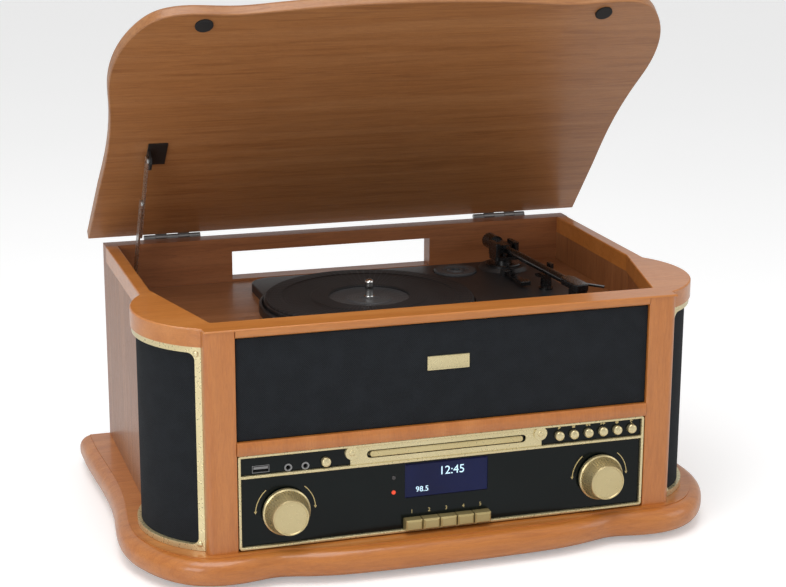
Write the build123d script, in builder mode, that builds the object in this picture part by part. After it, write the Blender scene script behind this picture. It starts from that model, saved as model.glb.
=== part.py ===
# Retro record player: a wooden music centre with speaker pods, a lift-up lid,
# a belt-driven platter, a disc drawer and a radio fascia.
# Frame: X to the right, Y to the back, Z up from the surface that it stands on.
# Sketches on level(), front() and side() measure Y from the front of the cabinet.
import os
from math import acos, atan2, cos, degrees, hypot, radians, sin
from build123d import *

os.makedirs("parts", exist_ok=True)

# Driving dimensions in millimetres.
front_y = -143.0            # place of the cabinet's front plane in the frame
fit = 0.2                   # gap between a loose piece and the opening round it
touch = 0.1                 # gap at a close fit that does not move
running = 0.3               # gap between pieces that move past each other

foot_height = 4.0
foot_radius = 14.0
plinth_thickness = 22.0
plinth_overhang = 9.5       # reach of the round edge past the raised field
field_step = 0.8            # height of the raised field
cabinet_half = 214.2        # outer face of a side panel
side_thickness = 10.5
back_y = 299.8              # rear face of the back panel
back_thickness = 15.7
rim_z = 200.0               # top of the cabinet
cap_thickness = 14.0
baffle_thickness = 9.0

pod_x, pod_y = 152.7, 74.7  # centre of a speaker pod's curve
pod_radius = 75.5
grille_frame_thickness = 3.0
grille_inset = 1.0          # grille frame behind the pod's curve
grille_panel_thickness = 4.0
grille_band = 4.6           # height of the grille frame's top and bottom bands
grille_bar = 5.0            # width of its upright bars
grille_corner = 6.0         # gusset radius in its corners

pillar_x = 165.0            # inner face of a front pillar
pillar_width = 23.3
pillar_front, pillar_back = -1.0, 13.0
pillar_top_layer = 1.6      # thin layer of the top frame over a pillar
rail_bottom, rail_top = 102.4, 112.8
rail_front, rail_back = -2.2, 6.5
front_rail_back = 23.7
front_rail_thickness = 7.2
front_rail_front = -1.5

cloth_front, cloth_back = 1.5, 6.5
fascia_front, fascia_back = 2.0, 5.0
board_y = 16.0              # front face of the control boards
board_thickness = 1.6

deck_z = 160.7              # top of the deck board
deck_thickness = 8.0
record_slot_x, record_slot_half = -12.0, 91.5
record_slot_bottom, record_slot_top = 163.0, 188.0

plinth_bottom = foot_height
plinth_top = plinth_bottom + plinth_thickness
wall_top = rim_z - cap_thickness
side_inner = cabinet_half - side_thickness
well_back = back_y - back_thickness
pillar_outer = pillar_x + pillar_width


def level(z):
    """Horizontal plane at height z, with Y measured from the cabinet's front."""
    return Plane(origin=(0, front_y, z))


def front(y):
    """Upright plane that faces forwards, y behind the front; local Y is height."""
    return Plane(origin=(0, front_y + y, 0), x_dir=(1, 0, 0), z_dir=(0, -1, 0))


def side(x):
    """Upright plane that faces right; local X is depth and local Y is height."""
    return Plane(origin=(x, front_y, 0), x_dir=(0, 1, 0), z_dir=(1, 0, 0))


def save(piece, name):
    """Label a finished piece and write it as its own file."""
    piece.part.label = name
    export_step(piece.part, "parts/" + name + ".step")


def block(x, y, z, mode=Mode.ADD):
    """Box between the given pairs of X, Y and Z, with Y from the cabinet's front."""
    with BuildSketch(level(z[0])) as base:
        with Locations(((x[0] + x[1]) / 2, (y[0] + y[1]) / 2)):
            Rectangle(x[1] - x[0], y[1] - y[0])
    extrude(base.sketch, amount=z[1] - z[0], mode=mode)


def both(x):
    """The same X on the left and on the right."""
    return (-x, x)


# Four rubber feet under the corners of the plinth.
foot_x, foot_front, foot_rear = 200.0, 30.0, 270.0
foot_spots = [(x, y) for x in (-foot_x, foot_x) for y in (foot_front, foot_rear)]
with BuildPart() as feet:
    with BuildSketch(level(0)):
        with Locations(*foot_spots):
            Circle(foot_radius)
    extrude(amount=foot_height)
    chamfer(feet.edges().group_by(Axis.Z)[0], 1.0)
save(feet, "feet")

# Plinth: a thick board with a full round edge and a raised field that the
# cabinet stands on. Its outline swells at the pods and bows out at the front.
field_half = [(0, -14), (62, -13), (97, -10), (119, -5), (138, -1.5), (152, -3.5), (180, -5),
              (201, 3), (220, 25), (232, 56), (233, 92), (229, 130), (228, 190), (232, 268)]
field_curve = Spline(*field_half, tangents=[(1, 0), (0.04, 1)])


def moved_out(curve, share, distance):
    """Point at a share of a curve's length, moved outwards square to the curve."""
    run = curve % share
    return curve @ share + Vector(run.Y, -run.X) * distance


def board_outline(half, rear_x, rear_y):
    """Closed outline from a right half that ends near its rear corner."""
    with BuildLine() as line:
        edge = Spline(*half, tangents=[(1, 0), (0.04, 1)])
        Polyline(edge @ 1, (rear_x, rear_y), (0, rear_y), edge @ 0)
    make_face(line.edges())
    mirror(about=Plane.YZ)


samples = 2 * len(field_half)
plinth_half = [moved_out(field_curve, i / samples, plinth_overhang) for i in range(samples + 1)]
with BuildPart() as base_plinth:
    with BuildSketch(level(plinth_bottom)) as plinth_outline:
        board_outline(plinth_half, plinth_half[-1].X, back_y + plinth_overhang)
        rear_corners = [one for one in plinth_outline.vertices() if one.Y > back_y and abs(one.X) > 1]
        fillet(rear_corners, plinth_overhang + 4)
    extrude(amount=plinth_thickness - field_step)
    round_edges = base_plinth.edges().group_by(Axis.Z)
    fillet(round_edges[0] + round_edges[-1], plinth_overhang - 0.3)
    with BuildSketch(level(plinth_top - field_step)):
        board_outline(field_half, field_half[-1][0], back_y)
    extrude(amount=field_step)
save(base_plinth, "base_plinth")

# Side panels of veneered board, from the plinth to the top frame.
panel_front = pod_y + pod_radius * sin(acos((cabinet_half - pod_x) / pod_radius))
with BuildPart() as side_panels:
    block((side_inner, cabinet_half), (panel_front, well_back), (plinth_top, wall_top))
    mirror(about=Plane.YZ)
save(side_panels, "side_panels")

# Speaker baffles: upright boards set at an angle behind the pod grilles. Their
# inner faces are the front corners of the record well.
baffle_front, baffle_rear = (178.0, front_rail_back), (side_inner, 124.0)
baffle_run = hypot(baffle_rear[0] - baffle_front[0], baffle_rear[1] - baffle_front[1])
along = ((baffle_rear[0] - baffle_front[0]) / baffle_run, (baffle_rear[1] - baffle_front[1]) / baffle_run)
outward = (along[1], -along[0])


def baffle_x(y, shift):
    """X of the line that runs beside the baffle's inner face, shift outwards."""
    start_x = baffle_front[0] + outward[0] * shift
    start_y = baffle_front[1] + outward[1] * shift
    return start_x + (y - start_y) * along[0] / along[1]


speaker_z = 95.0
speaker_hole = 33.0
outer_gap = (pod_x - baffle_front[0]) * outward[0] + (pod_y - baffle_front[1]) * outward[1]
speaker_x = pod_x + (baffle_thickness - outer_gap) * outward[0]
speaker_y = pod_y + (baffle_thickness - outer_gap) * outward[1]
speaker_plane = Plane(origin=(speaker_x, front_y + speaker_y, speaker_z),
                      x_dir=(along[0], along[1], 0), z_dir=(outward[0], outward[1], 0))
with BuildPart() as speaker_baffles:
    with BuildSketch(level(plinth_top)):
        with BuildLine():
            Polyline((baffle_x(pillar_back, 0), pillar_back), (baffle_rear[0], baffle_rear[1]),
                     (side_inner, panel_front), (baffle_x(panel_front, baffle_thickness), panel_front),
                     (baffle_x(pillar_back, baffle_thickness), pillar_back), close=True)
        make_face()
        with Locations((pod_x, pod_y)):
            Circle(pod_radius - grille_inset - grille_frame_thickness - touch, mode=Mode.INTERSECT)
    extrude(amount=wall_top - plinth_top)
    with BuildSketch(speaker_plane):
        Circle(speaker_hole)
    extrude(amount=-baffle_thickness - 1, mode=Mode.SUBTRACT)
    mirror(about=Plane.YZ)
save(speaker_baffles, "speaker_baffles")

# Speakers: pressed frame, paper cone and magnet, screwed to the baffle's face.
speaker_side = Plane(origin=speaker_plane.origin, x_dir=speaker_plane.x_dir, z_dir=(0, 0, -1))
speaker_flange, flange_thickness = 37.5, 2.0
cone_depth, magnet_radius, magnet_depth = 15.0, 21.0, 10.0
with BuildPart() as speakers:
    with BuildSketch(speaker_side):
        with BuildLine():
            Polyline((0, -4), (9, -6), (10, -cone_depth + 3), (speaker_hole - 5, -1), (speaker_hole - 4, 1),
                     (speaker_hole - 1, 1), (speaker_hole, flange_thickness), (speaker_flange, flange_thickness),
                     (speaker_flange, 0), (speaker_hole - 0.5, 0), (speaker_hole - 0.5, -baffle_thickness),
                     (magnet_radius + 2, -cone_depth - 6), (magnet_radius, -cone_depth - 6),
                     (magnet_radius, -cone_depth - 6 - magnet_depth), (0, -cone_depth - 6 - magnet_depth),
                     close=True)
        make_face()
    revolve(axis=Axis(speaker_plane.origin, speaker_plane.z_dir))
    mirror(about=Plane.YZ)
save(speakers, "speakers")

# Back panel: closes the well and the speaker space. A wide notch lets a large
# record hang over the back of the well, and the socket plate has its own hole.
rear_socket_x, rear_socket_z = -120.0, 75.0
rear_plate_width, rear_plate_height = 96.0, 34.0
with BuildPart() as back_panel:
    block(both(cabinet_half), (well_back, back_y), (plinth_top, rim_z))
    block((record_slot_x - record_slot_half, record_slot_x + record_slot_half), (well_back, back_y),
          (record_slot_bottom, record_slot_top), Mode.SUBTRACT)
    block((rear_socket_x - rear_plate_width / 2 + 4, rear_socket_x + rear_plate_width / 2 - 4),
          (well_back, back_y), (rear_socket_z - rear_plate_height / 2 + 4, rear_socket_z + rear_plate_height / 2 - 4),
          Mode.SUBTRACT)
save(back_panel, "back_panel")

# Front frame: two rounded corner pillars and the rail across the middle.
with BuildPart() as front_frame:
    block((pillar_x, pillar_outer), (pillar_front, pillar_back), (plinth_top, rim_z - pillar_top_layer))
    fillet(front_frame.edges().filter_by(Axis.Z).group_by(Axis.Y)[0].sort_by(Axis.X)[-1], 5.0)
    fillet(front_frame.edges().filter_by(Axis.Z).group_by(Axis.Y)[0].sort_by(Axis.X)[0], 1.0)
    mirror(about=Plane.YZ)
    with BuildSketch(side(-pillar_x)):
        with BuildLine():
            rail_face = ThreePointArc((rail_front + 1.2, rail_bottom), (rail_front, (rail_bottom + rail_top) / 2),
                                      (rail_front + 1.2, rail_top))
            Polyline(rail_face @ 1, (rail_back, rail_top), (rail_back, rail_bottom), rail_face @ 0)
        make_face()
    extrude(amount=2 * pillar_x)
save(front_frame, "front_frame")

# Top frame: the rim round the well, a thick cap over each pod and a thinner
# rail across the front. A thin layer of it runs over the tops of the pillars.
cap_corner_y = 129.3
cap_start = -degrees(acos((pillar_outer - pod_x) / pod_radius))
cap_end = degrees(acos((cabinet_half - pod_x) / pod_radius))
with BuildPart() as top_frame:
    with BuildSketch(level(wall_top)):
        with BuildLine():
            cap_arc = CenterArc((pod_x, pod_y), pod_radius, cap_start, cap_end - cap_start)
            Polyline(cap_arc @ 1, (cabinet_half, well_back), (side_inner, well_back), (side_inner, cap_corner_y),
                     baffle_front, (baffle_front[0], pillar_back), (pillar_outer, pillar_back), cap_arc @ 0)
        make_face()
        mirror(about=Plane.YZ)
    extrude(amount=cap_thickness)
    block(both(pillar_outer), (front_rail_front, front_rail_back), (rim_z - front_rail_thickness, rim_z))
    for hand in (-1, 1):
        pocket_x = sorted((hand * (pillar_x - touch), hand * (pillar_outer + touch)))
        block(pocket_x, (front_rail_front - 1, pillar_back + touch), (wall_top, rim_z - pillar_top_layer + touch),
              Mode.SUBTRACT)
    rim_edges = top_frame.faces().sort_by(Axis.Z)[-1].outer_wire().edges()
    fillet([one for one in rim_edges if one.center().Y < front_y + well_back - 1], 1.2)
    nose = top_frame.edges().filter_by(Axis.X).group_by(Axis.Y)[0].sort_by(Axis.Z)
    fillet(nose[0], 3.0)
save(top_frame, "top_frame")


def pod_sector(inner, outer, start, end):
    """Ring sector about the right pod's centre, kept clear of the pillar."""
    with BuildLine() as ring:
        far = CenterArc((pod_x, pod_y), outer, start, end - start)
        near = CenterArc((pod_x, pod_y), inner, start, end - start)
        Line(near @ 0, far @ 0)
        Line(near @ 1, far @ 1)
    make_face(ring.edges())
    with Locations(((pillar_x + pillar_outer + touch) / 2, (pillar_front + pillar_back) / 2)):
        Rectangle(pillar_width + touch, pillar_back - pillar_front + 2 * fit, mode=Mode.SUBTRACT)


# Grille frames: bent metal frames with rounded inner corners, one on each pod.
frame_outer = pod_radius - grille_inset
frame_inner = frame_outer - grille_frame_thickness
bar_angle = degrees(grille_bar / frame_outer)
frame_bottom, frame_top = plinth_top + fit, wall_top - fit
first_bar = -degrees(acos((pillar_outer + touch - pod_x) / frame_outer))
with BuildPart() as grille_frames:
    with BuildSketch(level(frame_bottom)):
        pod_sector(frame_inner, frame_outer, cap_start, cap_end)
    extrude(amount=frame_top - frame_bottom)
    with BuildPart(mode=Mode.PRIVATE) as grille_window:
        with BuildSketch(level(frame_bottom + grille_band)):
            pod_sector(frame_inner - 1, frame_outer + 1, first_bar + bar_angle, cap_end - bar_angle)
        extrude(amount=frame_top - frame_bottom - 2 * grille_band)
        corner_edges = grille_window.edges().filter_by(lambda one: abs(one.length - grille_frame_thickness - 2) < 0.01)
        fillet(corner_edges, grille_corner)
    add(grille_window.part, mode=Mode.SUBTRACT)
    mirror(about=Plane.YZ)
save(grille_frames, "grille_frames")

# Grille panels: cloth over a bent board, close behind the frame's window.
panel_outer = frame_inner - touch
panel_start, panel_end = -60.5, 31.5
with BuildPart() as grille_panels:
    with BuildSketch(level(frame_bottom)):
        pod_sector(panel_outer - grille_panel_thickness, panel_outer, panel_start, panel_end)
    extrude(amount=frame_top - frame_bottom)
    mirror(about=Plane.YZ)
save(grille_panels, "grille_panels")

# Front cloth panel: board with cloth, between the middle rail and the front rail.
with BuildPart() as front_cloth_panel:
    block(both(pillar_x - fit), (cloth_front, cloth_back), (rail_top + fit, rim_z - front_rail_thickness - fit))
    fillet(front_cloth_panel.edges().filter_by(Axis.X).group_by(Axis.Y)[0], 0.8)
save(front_cloth_panel, "front_cloth_panel")

# Fascia: what it carries, as X and Z of each centre.
fascia_x = pillar_x - fit
fascia_bottom, fascia_top = plinth_top + 0.6, rail_bottom - fit
knob_x, knob_z = 128.0, 55.0
shaft_radius = 3.0
button_radius = 3.65
button_x, button_z, button_pitch, button_count = 92.6, 92.3, 12.3, 6
function_x, function_z = -96.6, 90.8
usb_x, usb_z, usb_width, usb_height = -146.8, 90.2, 13.1, 5.7
aux_x, phones_x, jack_z = -125.7, -112.4, 89.1
jack_radius, jack_bore, jack_depth = 3.0, 1.8, 14.0
window_half, window_bottom, window_top = 33.8, 54.0, 81.7
lens_x, sensor_z, led_z, lens_radius = -42.7, 71.6, 59.7, 1.7
key_pitch, key_width, key_count = 14.0, 13.2, 5
key_bottom, key_top, key_front = 29.4, 38.0, -6.0
slot_half, slot_z, slot_height = 64.5, 93.3, 6.2
plate_half, divider_z = 77.5, 84.8
plate_screw_x, plate_screw_z, plate_boss = 76.3, 96.0, 5.6
trim_front = -0.6
housing_bottom = 82.0
bead_width = 2.2
flange_thickness_key = 1.0
button_spots = [(button_x + button_pitch * i, button_z) for i in range(button_count)]
key_x = [key_pitch * (i - (key_count - 1) / 2) for i in range(key_count)]
boss_spots = [(-157.0, 33.0), (-94.0, 33.0), (94.0, 33.0), (158.0, 33.0), (-46.0, 48.0), (46.0, 48.0)]

# Fascia panel: gloss board that fills the lower front, with round bosses behind
# it for the control boards.
with BuildPart() as fascia_panel:
    with BuildSketch(front(fascia_back)):
        with Locations((0, (fascia_bottom + fascia_top) / 2)):
            Rectangle(2 * fascia_x, fascia_top - fascia_bottom)
        with Locations(*button_spots, (function_x, function_z)):
            Circle(button_radius + fit, mode=Mode.SUBTRACT)
        with Locations((aux_x, jack_z), (phones_x, jack_z)):
            Circle(jack_radius + touch, mode=Mode.SUBTRACT)
        with Locations((lens_x, sensor_z), (lens_x, led_z)):
            Circle(lens_radius + touch, mode=Mode.SUBTRACT)
        with Locations((-knob_x, knob_z), (knob_x, knob_z)):
            Circle(shaft_radius + fit, mode=Mode.SUBTRACT)
        with Locations((usb_x, usb_z)):
            Rectangle(usb_width + 2 * touch, usb_height + 2 * touch, mode=Mode.SUBTRACT)
        with Locations((0, (window_bottom + window_top) / 2)):
            Rectangle(2 * window_half, window_top - window_bottom, mode=Mode.SUBTRACT)
        with Locations((0, (key_bottom + key_top) / 2)):
            Rectangle(key_pitch * key_count + fit, key_top - key_bottom + 2 * fit, mode=Mode.SUBTRACT)
        with Locations((0, slot_z)):
            Rectangle(2 * slot_half, slot_height, mode=Mode.SUBTRACT)
    extrude(amount=fascia_back - fascia_front)
    with BuildSketch(front(board_y)):
        with Locations(*boss_spots):
            Circle(3.0)
    extrude(amount=board_y - fascia_back)
save(fascia_panel, "fascia_panel")

# Fascia trim: a thin moulded bead round the fascia and across it, and the plate
# round the disc drawer with a round boss at each end.
trim_half, trim_bottom, trim_top = fascia_x - 0.4, fascia_bottom + 0.4, fascia_top
with BuildPart() as fascia_trim:
    with BuildSketch(front(fascia_front)):
        with Locations((0, (trim_bottom + trim_top) / 2)):
            RectangleRounded(2 * trim_half, trim_top - trim_bottom, 2.5)
            Rectangle(2 * (trim_half - bead_width), trim_top - trim_bottom - 2 * bead_width, mode=Mode.SUBTRACT)
        with Locations((0, divider_z)):
            Rectangle(2 * trim_half - bead_width, bead_width)
    extrude(amount=fascia_front - trim_front)
    front_edges = fascia_trim.faces().sort_by(Axis.Y)[0].edges()
    fillet(front_edges, 0.7)
    with BuildSketch(front(fascia_front)):
        with Locations((0, (divider_z + trim_top) / 2)):
            Rectangle(2 * plate_half, trim_top - divider_z)
    extrude(amount=fascia_front - trim_front - 1.2)
    with BuildSketch(front(fascia_front)):
        with Locations((-plate_screw_x, plate_screw_z), (plate_screw_x, plate_screw_z)):
            Circle(plate_boss)
    extrude(amount=fascia_front - trim_front, taper=6)
    with BuildSketch(front(fascia_front + 1)):
        with Locations((0, slot_z)):
            SlotOverall(2 * slot_half, slot_height)
    extrude(amount=fascia_front - trim_front + 2, mode=Mode.SUBTRACT)
save(fascia_trim, "fascia_trim")

# Display: a clear window with a bevelled edge on a closed module.
display_front = fascia_front - 0.8
with BuildPart() as display_module:
    with BuildSketch(front(fascia_back)):
        with Locations((0, (window_bottom + window_top) / 2)):
            Rectangle(2 * (window_half - touch), window_top - window_bottom - 2 * touch)
    extrude(amount=fascia_back - display_front)
    chamfer(display_module.faces().sort_by(Axis.Y)[0].edges(), 0.9)
    block(both(window_half + 2), (fascia_back, board_y), (window_bottom - 2, housing_bottom - fit))
save(display_module, "display_module")

# Sockets in the fascia: a flat serial socket with its tongue, and two round
# jacks for an input and for headphones.
with BuildPart() as front_sockets:
    with BuildSketch(front(board_y)):
        with Locations((usb_x, usb_z)):
            Rectangle(usb_width, usb_height)
    extrude(amount=board_y - fascia_front + 0.6)
    with BuildSketch(front(board_y - 2)):
        with Locations((usb_x, usb_z)):
            Rectangle(usb_width - 0.8, usb_height - 0.8)
        with Locations((usb_x, usb_z + 0.9)):
            Rectangle(usb_width - 2.0, 1.9, mode=Mode.SUBTRACT)
    extrude(amount=board_y, mode=Mode.SUBTRACT)
    with BuildSketch(front(board_y)):
        with Locations((aux_x, jack_z), (phones_x, jack_z)):
            Rectangle(9.0, 8.0)
    extrude(amount=board_y - fascia_back - fit)
    with BuildSketch(front(fascia_back + 1)):
        with Locations((aux_x, jack_z), (phones_x, jack_z)):
            Circle(jack_radius)
    extrude(amount=fascia_back + 1 - fascia_front + 0.6)
    with BuildSketch(front(fascia_front - 0.6)):
        with Locations((aux_x, jack_z), (phones_x, jack_z)):
            Circle(jack_bore)
    extrude(amount=-jack_depth, mode=Mode.SUBTRACT)
save(front_sockets, "front_sockets")

# Lenses of the remote sensor and of the red lamp, each a short light pipe.
with BuildPart() as indicator_lenses:
    with BuildSketch(front(board_y)):
        with Locations((lens_x, sensor_z), (lens_x, led_z)):
            Circle(lens_radius)
    extrude(amount=board_y - fascia_front + 0.5)
    fillet(indicator_lenses.faces().group_by(Axis.Y)[0].edges(), 0.6)
save(indicator_lenses, "indicator_lenses")

# Push buttons: a domed cap, a flange that keeps it in the fascia and a stem.
button_front = -2.4
button_travel = 1.2
stem_radius = 1.6


def push_button(x, z):
    """Round push button at the given place on the fascia."""
    with BuildPart() as button:
        with BuildSketch(Plane(origin=(x, front_y, z), x_dir=(1, 0, 0), z_dir=(0, 0, 1))):
            with BuildLine():
                dome = ThreePointArc((0, button_front), (button_radius * 0.55, button_front + 0.3),
                                     (button_radius - 0.4, button_front + 0.9))
                Polyline(dome @ 1, (button_radius, button_front + 1.5), (button_radius, fascia_back + fit),
                         (button_radius + 1.2, fascia_back + fit),
                         (button_radius + 1.2, fascia_back + fit + flange_thickness_key),
                         (stem_radius, fascia_back + fit + flange_thickness_key),
                         (stem_radius, board_y - button_travel - running), (0, board_y - button_travel - running),
                         dome @ 0)
            make_face()
        revolve(axis=Axis((x, front_y, z), (0, 1, 0)))
    return button


function_button = push_button(function_x, function_z)
save(function_button, "function_button")
button_names = ["play_button", "stop_button", "back_button", "forward_button", "record_button", "eject_button"]
for (x, z), name in zip(button_spots, button_names):
    save(push_button(x, z), name)

# Preset keys: five wide keys side by side, bevelled in front, flanged behind.
for i, x in enumerate(key_x):
    with BuildPart() as preset_key:
        with BuildSketch(front(fascia_back + fit)):
            with Locations((x, (key_bottom + key_top) / 2)):
                Rectangle(key_width, key_top - key_bottom)
        extrude(amount=fascia_back + fit - key_front)
        chamfer(preset_key.faces().sort_by(Axis.Y)[0].edges(), 1.3)
        with BuildSketch(front(fascia_back + fit + flange_thickness_key)):
            with Locations((x, (key_bottom + key_top) / 2)):
                Rectangle(key_width, key_top - key_bottom + 2.4)
        extrude(amount=flange_thickness_key)
        with BuildSketch(front(board_y - button_travel - running)):
            with Locations((x, (key_bottom + key_top) / 2)):
                Circle(stem_radius)
        extrude(amount=board_y - button_travel - running - fascia_back - fit - flange_thickness_key)
    save(preset_key, "preset_key_" + str(i + 1))

# Knobs: each is turned metal with a fine saw-tooth skirt that tapers to a flat
# face, on a shaft that turns and can be pushed in.
knob_back, knob_face = 0.2, -15.5
skirt_radius, face_radius, knob_teeth, tooth_depth = 18.4, 14.0, 48, 0.8
knob_travel = 1.5
shaft_front, shaft_back = -11.0, board_y - knob_travel - running
for hand, name in ((-1, "volume"), (1, "tuning")):
    with BuildPart() as knob:
        with BuildSketch(Plane(origin=(hand * knob_x, front_y, knob_z), x_dir=(1, 0, 0), z_dir=(0, 0, 1))):
            with BuildLine():
                Polyline((0, knob_face + 0.6), (face_radius - 1.6, knob_face + 0.6), (face_radius - 1.2, knob_face),
                         (face_radius - 0.4, knob_face), (face_radius, knob_face + 0.8),
                         (skirt_radius - 1.0, knob_back - 3.4), (skirt_radius, knob_back - 2.6),
                         (skirt_radius, knob_back), (0, knob_back), close=True)
            make_face()
        revolve(axis=Axis((hand * knob_x, front_y, knob_z), (0, 1, 0)))
        groove_planes = [Plane(origin=(hand * knob_x, front_y, knob_z), x_dir=(cos(turn), 0, sin(turn)),
                               z_dir=(-sin(turn), 0, cos(turn)))
                         for turn in [radians(360 / knob_teeth * i) for i in range(knob_teeth)]]
        with BuildSketch(*groove_planes):
            with BuildLine():
                Polyline((skirt_radius - 1.0 - tooth_depth, knob_back - 3.4), (skirt_radius + 1, knob_back - 3.4),
                         (face_radius + 1.5, knob_face + 1.6), (face_radius + 0.3 - tooth_depth / 2, knob_face + 1.6),
                         close=True)
            make_face()
        extrude(amount=0.45, both=True, mode=Mode.SUBTRACT)
        with BuildSketch(front(knob_back)):
            with Locations((hand * knob_x, knob_z)):
                Circle(shaft_radius + touch)
        extrude(amount=knob_back - shaft_front, mode=Mode.SUBTRACT)
    save(knob, name + "_knob")
    with BuildPart() as shaft:
        with BuildSketch(front(shaft_back)):
            with Locations((hand * knob_x, knob_z)):
                Circle(shaft_radius)
        extrude(amount=shaft_back - shaft_front - touch)
        with BuildSketch(front(fascia_back + fit + flange_thickness_key)):
            with Locations((hand * knob_x, knob_z)):
                Circle(shaft_radius + 1.5)
        extrude(amount=flange_thickness_key)
    save(shaft, name + "_shaft")

# Disc drawer: a tray with a round recess and a narrow bar across its front. It
# slides out of the mechanism's tunnel through the slot in the fascia.
bar_half, bar_thickness = 62.0, 4.8
bar_front, tray_rear = 0.0, 130.0
disc_recess = 60.5
tray_bottom, tray_top = slot_z - bar_thickness / 2, slot_z + 2.4
disc_y = tray_rear - disc_recess - 3.0
with BuildPart() as cd_drawer:
    with BuildSketch(front(fascia_back)):
        with Locations((0, slot_z)):
            SlotOverall(2 * bar_half, bar_thickness)
    extrude(amount=fascia_back - bar_front)
    fillet(cd_drawer.faces().sort_by(Axis.Y)[0].edges(), 0.8)
    block(both(bar_half), (fascia_back, tray_rear), (tray_bottom, tray_top))
    with BuildSketch(level(tray_bottom + 1.4)):
        with Locations((0, disc_y)):
            Circle(disc_recess)
    extrude(amount=tray_top, mode=Mode.SUBTRACT)
    with BuildSketch(level(tray_bottom)):
        with Locations((0, disc_y + 18)):
            SlotOverall(76, 24, rotation=90)
    extrude(amount=3, mode=Mode.SUBTRACT)
save(cd_drawer, "cd_drawer")

# Disc mechanism: a closed housing behind the slot with the drawer's tunnel
# through its front, on four pillars from the plinth.
housing_half, housing_rear = 70.0, 150.0
housing_top = 101.8
with BuildPart() as cd_mechanism:
    block(both(housing_half), (fascia_back, housing_rear), (housing_bottom, housing_top))
    block(both(bar_half + running), (fascia_back, tray_rear + 4), (tray_bottom - running, tray_top + running),
          Mode.SUBTRACT)
    with BuildSketch(level(plinth_top)):
        with Locations(*[(x, y) for x in both(housing_half - 8) for y in (fascia_back + 30, housing_rear - 10)]):
            Circle(4.0)
    extrude(amount=housing_bottom - plinth_top)
save(cd_mechanism, "cd_mechanism")

# Circuit boards: a main board on pillars, and control boards behind the fascia
# with a bearing block for each knob's shaft.
main_board_z, main_board_half = 34.0, 110.0
main_board_front, main_board_rear = housing_rear + 8.0, housing_rear + 90.0
with BuildPart() as circuit_boards:
    block(both(main_board_half), (main_board_front, main_board_rear), (main_board_z, main_board_z + board_thickness))
    with BuildSketch(level(plinth_top)):
        with Locations(*[(x, y) for x in both(main_board_half - 8) for y in (main_board_front + 8, main_board_rear - 8)]):
            Circle(3.0)
    extrude(amount=main_board_z - plinth_top)
    block((-60, -20), (main_board_front + 20, main_board_front + 55),
          (main_board_z + board_thickness, main_board_z + 32))
    block((30, 90), (main_board_front + 15, main_board_front + 25),
          (main_board_z + board_thickness, main_board_z + 22))
    for low, high, top in ((-162, -88, fascia_top - 4), (88, 163, fascia_top - 4), (-52, 52, housing_bottom - fit)):
        block((low, high), (board_y, board_y + board_thickness), (plinth_top, top))
    with BuildSketch(front(board_y)):
        with Locations((-knob_x, knob_z), (knob_x, knob_z)):
            Rectangle(14, 14)
            Circle(shaft_radius + fit, mode=Mode.SUBTRACT)
    extrude(amount=board_y - fascia_back - flange_thickness_key - knob_travel - 2 * running)
save(circuit_boards, "circuit_boards")

# Deck board: the floor of the record well, cut to the walls, with holes for the
# motor and the platter's bearing.
platter_x, platter_y = -14.0, 163.0
motor_x, motor_y, motor_radius = -69.0, 113.0, 17.0
bearing_radius = 12.0
deck_bottom = deck_z - deck_thickness
with BuildPart() as deck_board:
    with BuildSketch(level(deck_bottom)):
        with BuildLine():
            Polyline((0, cloth_back + fit), (pillar_x - fit, cloth_back + fit), (pillar_x - fit, pillar_back + fit),
                     (baffle_x(pillar_back + fit, -fit), pillar_back + fit), (side_inner - fit, baffle_rear[1]),
                     (side_inner - fit, well_back - fit), (0, well_back - fit), close=True)
        make_face()
        mirror(about=Plane.YZ)
        with Locations((motor_x, motor_y)):
            Circle(motor_radius + 1, mode=Mode.SUBTRACT)
        with Locations((platter_x, platter_y)):
            Circle(bearing_radius + 0.6, mode=Mode.SUBTRACT)
    extrude(amount=deck_thickness)
save(deck_board, "deck_board")

# Turntable chassis: moulded plate on the deck with a round recess for the
# platter, a raised mound under the tonearm and a boss for the spindle.
chassis_top, recess_bottom = 168.0, 163.0
platter_radius, recess_gap, disc_border = 88.0, 1.5, 2.5
recess_radius = platter_radius + recess_gap
chassis_disc = recess_radius + disc_border
chassis_left, chassis_right, chassis_front, chassis_rear = -95.0, 162.0, 62.0, 264.0
arm_x, arm_y, arm_z = 134.0, 238.0, 186.0
mound_top, mound_radius = 171.0, 18.0
adapter_x, adapter_y, adapter_radius, adapter_bottom = 88.0, 237.0, 19.0, 165.8
spindle_radius, spindle_top, spindle_nose = 3.57, 186.5, 2.6
spindle_foot, spindle_bottom, spindle_step = 4.5, 155.0, 172.4
pulley_shaft = 1.5
switch_x, switch_y, switch_travel = 105.0, 72.0, 10.0
rest_x, rest_y = 139.3, 157.0
cue_x, cue_rear, cue_front, cue_z = 126.5, 208.0, 168.0, 171.4
cue_pin = 1.1
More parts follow.
